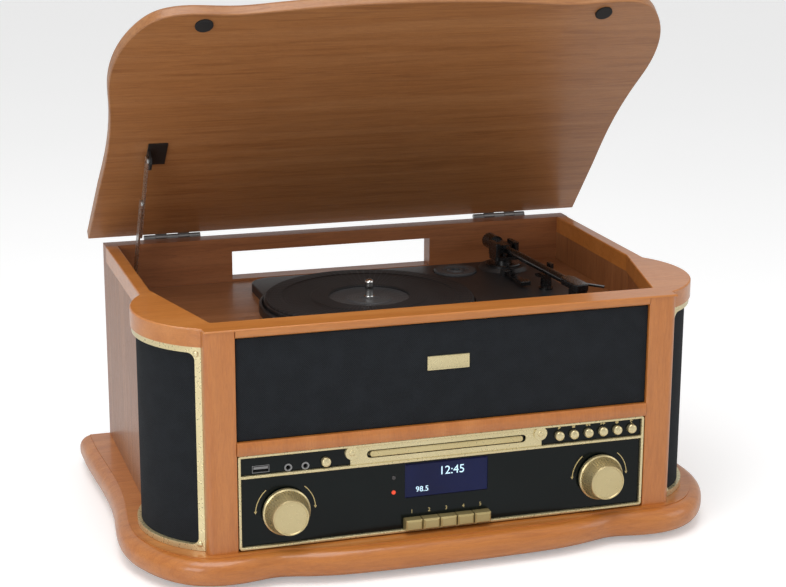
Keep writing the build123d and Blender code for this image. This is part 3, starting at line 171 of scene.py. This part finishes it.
def wood(name, base, dark, light, along, figure=0.6, pores=0.5, coat=0.35):
    """Lacquered veneer whose grain runs along the axis with the smallest stretch."""
    material, tree, shader = new_material(name, coat=coat)
    grain = tree.nodes.new("ShaderNodeGroup")
    grain.node_tree = grain_group
    settings = {"Base": base, "Dark": dark, "Light": light, "Figure": figure, "Pores": pores}
    for label, value in settings.items():
        grain.inputs[label].default_value = value
    tree.links.new(placed(tree, along), grain.inputs["Vector"])
    tree.links.new(grain.outputs["Color"], shader.inputs["Base Color"])
    tree.links.new(grain.outputs["Roughness"], shader.inputs["Roughness"])
    add_bump(tree, shader, grain.outputs["Height"], 0.0002, 0.35)
    return material


def dress(material, *nodes):
    """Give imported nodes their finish."""
    for node in nodes:
        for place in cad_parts[node].material_slots:
            place.material = material


along_x, along_z = (0.7, 7.0, 7.0), (7.0, 7.0, 0.7)
fine_along_x, fine_along_z = (0.5, 11.0, 11.0), (11.0, 11.0, 0.5)
orange_wood = wood("orange_wood", tone(188, 114, 48), tone(148, 80, 28), tone(212, 140, 70),
                   along_x, 0.4, 0.2, 0.5)
dress(orange_wood, "base_plinth")


def powder(name, colour, second, roughness, grain, depth, metallic=0.0, coat=0.0, specular=0.5):
    """Fine-grained moulded, painted or rubber surface with a slight colour drift."""
    material, tree, shader = new_material(name, roughness, metallic, coat, specular)
    vector = placed(tree)
    drift = noise(tree, vector, 18.0, 2.0)
    speckle = noise(tree, vector, grain, 2.0)
    share = span(tree, drift, 0.35, 0.65, 0.0, 0.7)
    tree.links.new(blend_colour(tree, share, colour, second), shader.inputs["Base Color"])
    shine = span(tree, speckle, 0.3, 0.7, roughness - 0.06, roughness + 0.08)
    tree.links.new(shine, shader.inputs["Roughness"])
    add_bump(tree, shader, speckle, depth, 0.5)
    return material


rubber = powder("foot_rubber", tone(34, 33, 33), tone(44, 43, 42), 0.75, 1800, 0.0002, specular=0.3)
dress(rubber, "feet", "lid_bumpers")

# Cabinet. The side panels have upright veneer, the pillars, rails and caps are
# lighter lacquered wood, and the well inside is a darker brown.
side_wood = wood("side_veneer", tone(152, 98, 58), tone(104, 60, 34), tone(176, 120, 78),
                 fine_along_z, 0.55, 0.7, 0.12)
cap_wood = wood("cap_wood", tone(192, 120, 54), tone(156, 88, 34), tone(212, 142, 76),
                along_x, 0.35, 0.2, 0.55)
pillar_wood = wood("pillar_wood", tone(188, 114, 50), tone(152, 84, 34), tone(208, 136, 72),
                   along_z, 0.35, 0.2, 0.55)
well_wood = wood("well_wood", tone(148, 92, 54), tone(106, 60, 34), tone(172, 114, 74),
                 fine_along_x, 0.5, 0.5, 0.15)
deck_wood = wood("deck_veneer", tone(150, 98, 60), tone(108, 64, 38), tone(172, 118, 78),
                 fine_along_x, 0.5, 0.6, 0.1)
dress(side_wood, "side_panels")
dress(cap_wood, "top_frame")
dress(pillar_wood, "front_frame")
dress(well_wood, "speaker_baffles", "back_panel")
dress(deck_wood, "deck_board")

# Lid. One board with shaped edges, veneered with the grain across its width and
# lacquered thinly on both faces.
lid_wood = wood("lid_veneer", tone(166, 112, 66), tone(122, 74, 40), tone(182, 130, 84),
                fine_along_x, 0.5, 0.6, 0.12)
dress(lid_wood, "lid")


# Speaker cloth. Dark woven cloth is stretched over the front board and over the
# bent board of each pod, and tucked in behind their edges.
weave_group, weave_in, weave_out = new_group(
    "cloth_weave",
    [("Vector", "NodeSocketVector", None), ("Thread", "NodeSocketColor", tone(38, 42, 47)),
     ("Gap", "NodeSocketColor", tone(14, 16, 18)), ("Count", "NodeSocketFloat", 1500.0)],
    [("Color", "NodeSocketColor"), ("Height", "NodeSocketFloat")])
split = weave_group.nodes.new("ShaderNodeSeparateXYZ")
weave_group.links.new(weave_in.outputs["Vector"], split.inputs["Vector"])
turns = join_value(weave_group, "MULTIPLY", weave_in.outputs["Count"], 2 * math.pi)
waves = []
for axis in ("X", "Y"):
    phase = join_value(weave_group, "MULTIPLY", split.outputs[axis], turns)
    wave = weave_group.nodes.new("ShaderNodeMath")
    wave.operation = "SINE"
    weave_group.links.new(phase, wave.inputs[0])
    waves.append(wave.outputs[0])
crossing = join_value(weave_group, "MULTIPLY", waves[0], waves[1])
fuzz = noise(weave_group, weave_in.outputs["Vector"], 900.0, 3.0)
patches = noise(weave_group, weave_in.outputs["Vector"], 60.0, 3.0)
woven = join_value(weave_group, "ADD", join_value(weave_group, "MULTIPLY", crossing, 0.5), fuzz)
thread_share = span(weave_group, woven, 0.1, 1.0)
cloth_colour = blend_colour(weave_group, thread_share, weave_in.outputs["Gap"], weave_in.outputs["Thread"])
lighter = join_value(weave_group, "MULTIPLY", span(weave_group, patches, 0.4, 0.7), 0.35)
weave_group.links.new(blend_colour(weave_group, lighter, cloth_colour, weave_in.outputs["Thread"]),
                      weave_out.inputs["Color"])
weave_group.links.new(woven, weave_out.inputs["Height"])

cloth, cloth_tree, cloth_shader = new_material("speaker_cloth", 0.9, specular=0.25)
weave = cloth_tree.nodes.new("ShaderNodeGroup")
weave.node_tree = weave_group
weave.inputs["Count"].default_value = 620.0
cloth_map = cloth_tree.nodes.new("ShaderNodeUVMap")
cloth_map.uv_map = "UVMap"
cloth_tree.links.new(cloth_map.outputs["UV"], weave.inputs["Vector"])
cloth_tree.links.new(weave.outputs["Color"], cloth_shader.inputs["Base Color"])
add_bump(cloth_tree, cloth_shader, weave.outputs["Height"], 0.0003, 0.7)


def clear():
    """Leave edit mode and select nothing."""
    if bpy.context.object and bpy.context.object.mode != "OBJECT":
        bpy.ops.object.mode_set(mode="OBJECT")
    bpy.ops.object.select_all(action="DESELECT")


def finish_piece(name, body, material, smooth=35):
    """Name the active piece, put its place in its mesh and fix it to a body."""
    piece = bpy.context.object
    bpy.ops.object.transform_apply(location=True, rotation=True, scale=True)
    piece.name = name
    piece.data.name = name
    piece.data.materials.clear()
    piece.data.materials.append(material)
    if smooth:
        bpy.ops.object.shade_smooth_by_angle(angle=math.radians(smooth))
    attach(piece, body)
    clear()
    return piece


def add_cube(low, high):
    """Start a piece as a cube between two corners."""
    clear()
    middle = [(a + b) / 2 for a, b in zip(low, high)]
    bpy.ops.mesh.primitive_cube_add(size=1, location=middle)
    bpy.context.object.scale = [b - a for a, b in zip(low, high)]
    bpy.ops.object.transform_apply(location=True, rotation=True, scale=True)
    return bpy.context.object


def round_edges(width, segments=3):
    """Bevel every edge of the active piece."""
    bpy.ops.object.mode_set(mode="EDIT")
    bpy.ops.mesh.select_all(action="SELECT")
    bpy.ops.mesh.bevel(offset=width, segments=segments, affect="EDGES")
    bpy.ops.object.mode_set(mode="OBJECT")


def write_map(piece, place):
    """Fill a piece's UV map in metres from each corner's place."""
    layer = piece.data.uv_layers.get("UVMap") or piece.data.uv_layers.new(name="UVMap")
    for loop in piece.data.loops:
        layer.data[loop.index].uv = place(piece.data.vertices[loop.vertex_index].co)


cloth_low, cloth_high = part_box("front_cloth_panel")
front_cloth = add_cube(cloth_low, cloth_high)
round_edges(0.0011, 3)
write_map(front_cloth, lambda co: (co.x, co.z))
front_cloth = finish_piece("front_cloth", "root", cloth)
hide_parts("front_cloth_panel")

# Pod cloth. Each pod's bent board carries the same cloth, wrapped round it and
# glued behind, held by the gold frame.
pod_x, pod_y, cloth_radius = 0.1527, 0.0747, 0.0713
for mark, name in ((-1, "left_pod_cloth"), (1, "right_pod_cloth")):
    clear()
    bpy.ops.mesh.primitive_cylinder_add(vertices=360, radius=cloth_radius, depth=0.1594, end_fill_type="NOTHING",
                                        location=(mark * pod_x, front_y + pod_y, 0.106))
    pod = bpy.context.object
    bpy.ops.object.transform_apply(location=True, rotation=True, scale=True)
    bpy.ops.object.mode_set(mode="EDIT")
    bpy.ops.mesh.select_all(action="DESELECT")
    bpy.ops.object.mode_set(mode="OBJECT")
    centre_x, centre_y = mark * pod_x, front_y + pod_y
    for face in pod.data.polygons:
        lean = math.degrees(math.atan2(face.center.y - centre_y, (face.center.x - centre_x) * mark))
        face.select = not -60.2 < lean < 31.2
    bpy.ops.object.mode_set(mode="EDIT")
    bpy.ops.mesh.select_mode(type="FACE")
    bpy.ops.mesh.delete(type="FACE")
    bpy.ops.object.mode_set(mode="OBJECT")
    thick = pod.modifiers.new("thickness", "SOLIDIFY")
    thick.thickness, thick.offset = 0.0042, -1
    bpy.ops.object.modifier_apply(modifier=thick.name)
    write_map(pod, lambda co: (math.atan2(co.y - centre_y, (co.x - centre_x) * mark) * 0.0716, co.z))
    finish_piece(name, "root", cloth)
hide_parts("grille_panels")

# Gold trim. Frames, bezel, knobs, drawer bar and buttons are champagne gold on
# pressed metal or moulded plastic, with a slight drift in colour and shine.
gold = powder("champagne_gold", tone(222, 208, 164), tone(212, 197, 150), 0.30, 420, 0.000001, 0.7, 0.15)
dress(gold, "grille_frames", "fascia_trim", "function_button", "play_button", "stop_button", "back_button",
      "forward_button", "record_button", "eject_button")
knob_gold = powder("knob_gold", tone(212, 196, 150), tone(200, 182, 134), 0.32, 500, 0.000004, 0.75, 0.1)
dress(knob_gold, "volume_knob", "tuning_knob")
drawer_gold = powder("drawer_gold", tone(212, 196, 146), tone(200, 182, 130), 0.32, 500, 0.000003, 0.7, 0.2)
dress(drawer_gold, "cd_drawer")

# Radio fascia. Gloss black moulding with a blue lit window, gold keys, steel
# sockets and two small lenses, of which the lower one is lit.
gloss_black = powder("gloss_black", tone(5, 12, 12), tone(9, 18, 18), 0.16, 900, 0.000004, 0.0, 0.0, 0.22)
dress(gloss_black, "fascia_panel")
key_gold = powder("key_gold", tone(186, 168, 118), tone(168, 150, 100), 0.38, 1500, 0.00004, 0.6, 0.1)
dress(key_gold, *(f"preset_key_{number}" for number in range(1, 6)))
window_blue = powder("window_blue", tone(14, 20, 56), tone(20, 28, 74), 0.14, 60, 0.000004, 0.0, 0.0, 0.22)
dress(window_blue, "display_module")
socket_steel = powder("socket_steel", tone(150, 150, 150), tone(120, 120, 120), 0.35, 800, 0.00003, 0.8)
dress(socket_steel, "front_sockets", "hinge_body_leaves", "hinge_lid_leaves", "platter_motor")
lens_red = powder("lens_red", tone(210, 50, 24), tone(160, 30, 16), 0.18, 400, 0.00002, 0.0, 0.6)
lens_shader = lens_red.node_tree.nodes["Principled BSDF"]
lens_tree = lens_red.node_tree
lens_parts = lens_tree.nodes.new("ShaderNodeSeparateXYZ")
lens_tree.links.new(placed(lens_tree), lens_parts.inputs["Vector"])
lit = join_value(lens_tree, "LESS_THAN", lens_parts.outputs["Z"], 0.0655)
lens_tree.links.new(blend_colour(lens_tree, lit, tone(0, 0, 0), tone(255, 78, 28)),
                    lens_shader.inputs["Emission Color"])
lens_tree.links.new(blend_colour(lens_tree, lit, tone(44, 40, 40), tone(214, 60, 26)),
                    lens_shader.inputs["Base Color"])
lens_shader.inputs["Emission Strength"].default_value = 0.35
dress(lens_red, "indicator_lenses")

# Turntable. Grained black chassis, rubber mat with fine rings and spokes whose ribs carry a painted sheen, on a
# black platter whose centre dish is painted grey as a painted highlight, chrome spindle and a black arm.
chassis_black = powder("chassis_black", tone(30, 30, 31), tone(40, 40, 41), 0.42, 2200, 0.00008, 0.0, 0.05)
dress(chassis_black, "turntable_chassis")
arm_black = powder("arm_black", tone(14, 14, 15), tone(22, 22, 23), 0.24, 900, 0.00002, 0.0, 0.3)
dress(arm_black, "tonearm", "tonearm_gimbal", "headshell", "tonearm_base", "arm_rest", "cue_lever",
      "speed_switch")
bracket_black = powder("bracket_black", tone(26, 26, 26), tone(38, 37, 36), 0.45, 1200, 0.00006, 0.1)
dress(bracket_black, "stay_lid_bracket", "stay_wall_bracket", "rear_sockets", "speakers")
adapter_grey = powder("adapter_grey", tone(66, 68, 70), tone(54, 56, 58), 0.45, 1500, 0.00006)
dress(adapter_grey, "adapter_45", "cd_mechanism")
chrome = powder("chrome", tone(232, 232, 230), tone(214, 214, 212), 0.10, 300, 0.000005, 1.0)
dress(chrome, "spindle")
steel = powder("stay_steel", tone(206, 206, 204), tone(184, 184, 182), 0.28, 700, 0.00003, 1.0)
dress(steel, "stay_lower_link", "stay_upper_link", "volume_shaft", "tuning_shaft")
brass = powder("pulley_brass", tone(196, 160, 84), tone(170, 134, 66), 0.3, 700, 0.00003, 1.0)
dress(brass, "motor_pulley")
belt_black = powder("belt_rubber", tone(26, 26, 26), tone(34, 33, 33), 0.7, 1500, 0.00005)
dress(belt_black, "drive_belt")
board_green = powder("board_green", tone(30, 84, 52), tone(40, 100, 64), 0.4, 300, 0.00004)
dress(board_green, "circuit_boards")

platter_centre = (-0.014, front_y + 0.163, 0.171)
ring_pitch, dish_radius = 0.0022, 0.033


def spoked(name, dark, light, spokes, roughness, painted_dish_highlight=False):
    """Round moulding with fine radial ribs and rings about the platter's centre, the ribs painted lighter as a
    painted sheen and the dish optionally painted grey as a painted highlight.
    """
    material, tree, shader = new_material(name, roughness, specular=0.4)
    vector = placed(tree, centre=platter_centre)
    parts = tree.nodes.new("ShaderNodeSeparateXYZ")
    tree.links.new(vector, parts.inputs["Vector"])
    angle = join_value(tree, "ARCTAN2", parts.outputs["Y"], parts.outputs["X"])
    wave = tree.nodes.new("ShaderNodeMath")
    wave.operation = "SINE"
    tree.links.new(join_value(tree, "MULTIPLY", angle, spokes), wave.inputs[0])
    length = tree.nodes.new("ShaderNodeVectorMath")
    length.operation = "LENGTH"
    flat = tree.nodes.new("ShaderNodeCombineXYZ")
    tree.links.new(parts.outputs["X"], flat.inputs["X"])
    tree.links.new(parts.outputs["Y"], flat.inputs["Y"])
    tree.links.new(flat.outputs["Vector"], length.inputs[0])
    ring = tree.nodes.new("ShaderNodeMath")
    ring.operation = "SINE"
    ring_phase = join_value(tree, "MULTIPLY", length.outputs["Value"], 2 * math.pi / ring_pitch)
    tree.links.new(ring_phase, ring.inputs[0])
    # Painted sheen: the rib crests are painted in the lighter colour to stand in for light caught along them;
    # the same ribs also drive the bump.
    rib_relief_and_sheen = span(tree, wave.outputs[0], 0.55, 0.95)
    drift = noise(tree, vector, 30.0, 3.0)
    share = join_value(tree, "ADD", join_value(tree, "MULTIPLY", rib_relief_and_sheen, 0.6),
                       span(tree, drift, 0.3, 0.7, 0.0, 0.3))
    base = blend_colour(tree, share, dark, light)
    # Painted highlight: the centre dish inside dish_radius is painted mid grey to stand in for light caught in
    # its rings.
    if painted_dish_highlight:
        dish_highlight_share = join_value(tree, "LESS_THAN", length.outputs["Value"], dish_radius)
        base = blend_colour(tree, dish_highlight_share, base, tone(70, 72, 74))
    tree.links.new(base, shader.inputs["Base Color"])
    height = join_value(tree, "ADD", join_value(tree, "MULTIPLY", ring.outputs[0], 0.4), rib_relief_and_sheen)
    add_bump(tree, shader, height, 0.0003, 0.6)
    return material


# The lighter second colour of both mouldings is a painted sheen along their ribs.
mat_rubber = spoked("mat_rubber", tone(20, 20, 21), tone(52, 52, 54), 90, 0.55)
dress(mat_rubber, "platter_mat")
# The platter's grey centre dish is a painted highlight.
platter_black = spoked("platter_black", tone(30, 30, 31), tone(48, 48, 50), 24, 0.4, painted_dish_highlight=True)
dress(platter_black, "platter")

# Printed marks. Plain symbols over the buttons, numbers over the keys and turning
# arcs round the knobs are printed in pale gold, so thin that they only catch light.
print_gold = powder("print_gold", tone(206, 186, 130), tone(188, 168, 112), 0.5, 900, 0.00002)


def add_print(name, vertices, radius, x, z, turn=0.0, squash=(1, 1)):
    """Flat printed shape on the fascia, with a small thickness."""
    clear()
    bpy.ops.mesh.primitive_circle_add(vertices=vertices, radius=radius, fill_type="NGON",
                                      location=(x / 1000, front_y + 0.002, z / 1000),
                                      rotation=(math.pi / 2, turn, 0))
    shape = bpy.context.object
    shape.scale = (squash[0], squash[1], 1)
    bpy.ops.object.transform_apply(location=True, rotation=True, scale=True)
    bpy.ops.object.mode_set(mode="EDIT")
    bpy.ops.mesh.select_all(action="SELECT")
    bpy.ops.mesh.extrude_region_move(TRANSFORM_OT_translate={"value": (0, -0.00015, 0)})
    bpy.ops.mesh.select_all(action="SELECT")
    bpy.ops.mesh.normals_make_consistent(inside=False)
    bpy.ops.object.mode_set(mode="OBJECT")
    shape.name = name
    return shape


def join_pieces(parts):
    """Join parts into the first of them, which becomes active."""
    clear()
    for part in parts:
        part.select_set(True)
    bpy.context.view_layer.objects.active = parts[0]
    bpy.ops.object.join()


def add_words(text, size, x, y, z, depth=0.00015):
    """Digits as a mesh that faces the front, centred on a point in millimetres."""
    clear()
    bpy.ops.object.text_add(location=(x / 1000, front_y + y / 1000, z / 1000), rotation=(math.pi / 2, 0, 0))
    words = bpy.context.object
    words.data.body = text
    words.data.size = size / 1000
    words.data.extrude = depth / 2
    words.data.align_x, words.data.align_y = "CENTER", "CENTER"
    bpy.ops.object.convert(target="MESH")
    bpy.ops.object.transform_apply(location=True, rotation=True, scale=True)
    return bpy.context.object


symbol_z, first_x, pitch_x = 98.6, 92.6, 12.3
quarter = math.pi / 2
prints = [add_print("symbols", 3, 0.0016, first_x, symbol_z, quarter),
          add_print("stop", 4, 0.0017, first_x + pitch_x, symbol_z, quarter / 2)]
for step, turn in ((2, -quarter), (3, quarter)):
    for shift in (-1.1, 1.1):
        prints.append(add_print("double", 3, 0.0013, first_x + step * pitch_x + shift, symbol_z, turn))
prints.append(add_print("record", 24, 0.0014, first_x + 4 * pitch_x, symbol_z))
prints.append(add_print("eject", 3, 0.0015, first_x + 5 * pitch_x, symbol_z + 0.3, 0.0))
prints.append(add_print("eject_bar", 4, 0.0015, first_x + 5 * pitch_x, symbol_z - 1.5, quarter / 2,
                        (1.2, 0.25)))
for number in range(5):
    prints.append(add_words(str(number + 1), 4.2, -28 + 14 * number, 1.92, 42.6))
join_pieces(prints)
finish_piece("fascia_marks", "root", print_gold)

knob_z, arc_radius = 55, 23.2
arcs = []
for knob_x in (-128, 128):
    for start, sweep in ((176, -46), (50, -46)):
        clear()
        angle = math.radians(start)
        middle = (knob_x / 1000, front_y, knob_z / 1000)
        reach = arc_radius / 1000
        low = (knob_x / 1000 + reach * math.cos(angle), front_y + 0.00185,
               knob_z / 1000 + reach * math.sin(angle))
        bpy.ops.mesh.primitive_plane_add(size=0.0006, location=low, rotation=(0, -angle, 0))
        bpy.ops.object.mode_set(mode="EDIT")
        bpy.ops.mesh.spin(steps=24, angle=math.radians(-sweep), center=middle, axis=(0, -1, 0))
        bpy.ops.mesh.select_all(action="SELECT")
        bpy.ops.mesh.normals_make_consistent(inside=False)
        bpy.ops.object.mode_set(mode="OBJECT")
        bpy.ops.object.transform_apply(location=True, rotation=True, scale=True)
        arcs.append(bpy.context.object)
    for angle_deg in (178, 2):
        angle = math.radians(angle_deg)
        arcs.append(add_print("arrow", 3, 0.0014, knob_x + arc_radius * math.cos(angle),
                              knob_z + arc_radius * math.sin(angle), math.pi))
join_pieces(arcs)
finish_piece("knob_arcs", "root", print_gold)

# Window digits. The display glows pale blue: a plain clock at the top and a
# plain channel number under it, drawn just in front of the blue window.
digit_glow = powder("digit_glow", tone(205, 232, 246), tone(186, 220, 240), 0.4, 900, 0.00001)
glow_shader = digit_glow.node_tree.nodes["Principled BSDF"]
glow_shader.inputs["Emission Color"].default_value = tone(190, 225, 245)
glow_shader.inputs["Emission Strength"].default_value = 0.55
digits = [add_words("12:45", 9.5, 4, 1.12, 73.6), add_words("98.5", 6.2, -20, 1.12, 60.5)]
join_pieces(digits)
finish_piece("window_digits", "root", digit_glow)

# Badge plate. A thin pressed gold plate with rounded corners is pinned on the
# cloth in the middle of the front and left bare.
badge = add_cube((-0.0168, front_y + 0.0002, 0.1555), (0.0168, front_y + 0.0014, 0.1665))
bpy.ops.object.mode_set(mode="EDIT")
bpy.ops.mesh.select_all(action="DESELECT")
bpy.ops.object.mode_set(mode="OBJECT")
for face in badge.data.polygons:
    face.select = face.normal.y < -0.9
bpy.ops.object.mode_set(mode="EDIT")
bpy.ops.mesh.select_mode(type="FACE")
bpy.ops.mesh.inset(thickness=0.0009, depth=0)
bpy.ops.mesh.inset(thickness=0.0004, depth=-0.0003)
bpy.ops.object.mode_set(mode="OBJECT")
round_edges(0.0002, 2)
finish_piece("badge_plate", "root", gold)

# Screws. Small domed screws hold the grille frames at their corners and the
# disc drawer's surround at its two bosses.
screws = []
places = [(sx * 76.3, -0.6, 96.0, 0.0, -1.0) for sx in (-1, 1)]
for side in (-1, 1):
    for lean in (-58.2, 31.9):
        for height in (31.4, 180.6):
            out = (math.cos(math.radians(lean)) * side, math.sin(math.radians(lean)))
            places.append((side * 152.7 + 74.5 * out[0], 74.7 + 74.5 * out[1], height, out[0], out[1]))
for x, y, z, out_x, out_y in places:
    clear()
    facing = Vector((out_x, out_y, 0)).to_track_quat("Z", "Y").to_euler()
    bpy.ops.mesh.primitive_uv_sphere_add(segments=20, ring_count=10, radius=0.0024,
                                         location=(x / 1000, front_y + y / 1000, z / 1000), rotation=facing)
    screw = bpy.context.object
    screw.scale = (1, 1, 0.42)
    bpy.ops.object.transform_apply(location=True, rotation=True, scale=True)
    screws.append(screw)
join_pieces(screws)
finish_piece("trim_screws", "root", gold)

# Studio. A pale floor under the cabinet, soft overhead and side lights, a white
# surround for the camera, and the camera at the photograph's place.
clear()
bpy.ops.mesh.primitive_plane_add(size=12, location=(0, 0, -0.0004))
floor = bpy.context.object
floor.name = "studio_floor"
floor_paint, floor_tree, floor_shader = new_material("studio_floor", 0.28, specular=0.4)
floor_speck = noise(floor_tree, placed(floor_tree), 3.0, 2.0)
floor_tree.links.new(blend_colour(floor_tree, floor_speck, (0.86, 0.86, 0.86, 1), (0.89, 0.89, 0.89, 1)),
                     floor_shader.inputs["Base Color"])
floor_rays = floor_tree.nodes.new("ShaderNodeLightPath")
floor_glow = join_value(floor_tree, "MULTIPLY", floor_rays.outputs["Is Camera Ray"], 0.3)
floor_shader.inputs["Emission Color"].default_value = (1, 1, 1, 1)
floor_tree.links.new(floor_glow, floor_shader.inputs["Emission Strength"])
floor.data.materials.append(floor_paint)

world = bpy.data.worlds.new("studio_world")
world.use_nodes = True
bpy.context.scene.world = world
sky = world.node_tree
backdrop = sky.nodes["Background"]
rays = sky.nodes.new("ShaderNodeLightPath")
seen = join_value(sky, "MAXIMUM", rays.outputs["Is Camera Ray"], 0.0)
seen = join_value(sky, "MAXIMUM", seen, rays.outputs["Is Transmission Ray"])
sky.links.new(span(sky, seen, 0.0, 1.0, 0.55, 1.0), backdrop.inputs["Strength"])
backdrop.inputs["Color"].default_value = (1, 1, 1, 1)


def add_light(name, place, target, size, power):
    """Square soft light that faces a point."""
    lamp = bpy.data.lights.new(name, "AREA")
    lamp.shape = "SQUARE"
    lamp.size = size
    lamp.energy = power
    holder = bpy.data.objects.new(name, lamp)
    bpy.context.scene.collection.objects.link(holder)
    holder.location = place
    holder.rotation_euler = (Vector(target) - Vector(place)).to_track_quat("-Z", "Y").to_euler()


add_light("overhead", (-0.3, -0.4, 1.7), (0, 0, 0.1), 1.2, 16)
add_light("front_left", (-1.6, -1.5, 0.9), (0, 0, 0.1), 1.0, 12)
add_light("right_fill", (1.7, -0.9, 0.8), (0, 0, 0.1), 1.0, 5)

yaw, pitch, roll = math.radians(17.49), math.radians(14.93), math.radians(0.24)
ahead = Vector((math.sin(yaw) * math.cos(pitch), math.cos(yaw) * math.cos(pitch), -math.sin(pitch)))
right = Vector((math.cos(yaw), -math.sin(yaw), 0))
up = right.cross(ahead)
rolled_right = right * math.cos(roll) + up * math.sin(roll)
rolled_up = up * math.cos(roll) - right * math.sin(roll)
lens = bpy.data.cameras.new("camera")
lens.sensor_width = 36
lens.lens = 84.39
camera = bpy.data.objects.new("camera", lens)
bpy.context.scene.collection.objects.link(camera)
camera.matrix_world = Matrix((
    (rolled_right.x, rolled_up.x, -ahead.x, -0.4416),
    (rolled_right.y, rolled_up.y, -ahead.y, -1.403),
    (rolled_right.z, rolled_up.z, -ahead.z, 0.5703),
    (0, 0, 0, 1)))
bpy.context.scene.camera = camera
bpy.context.scene.view_settings.view_transform = "Standard"
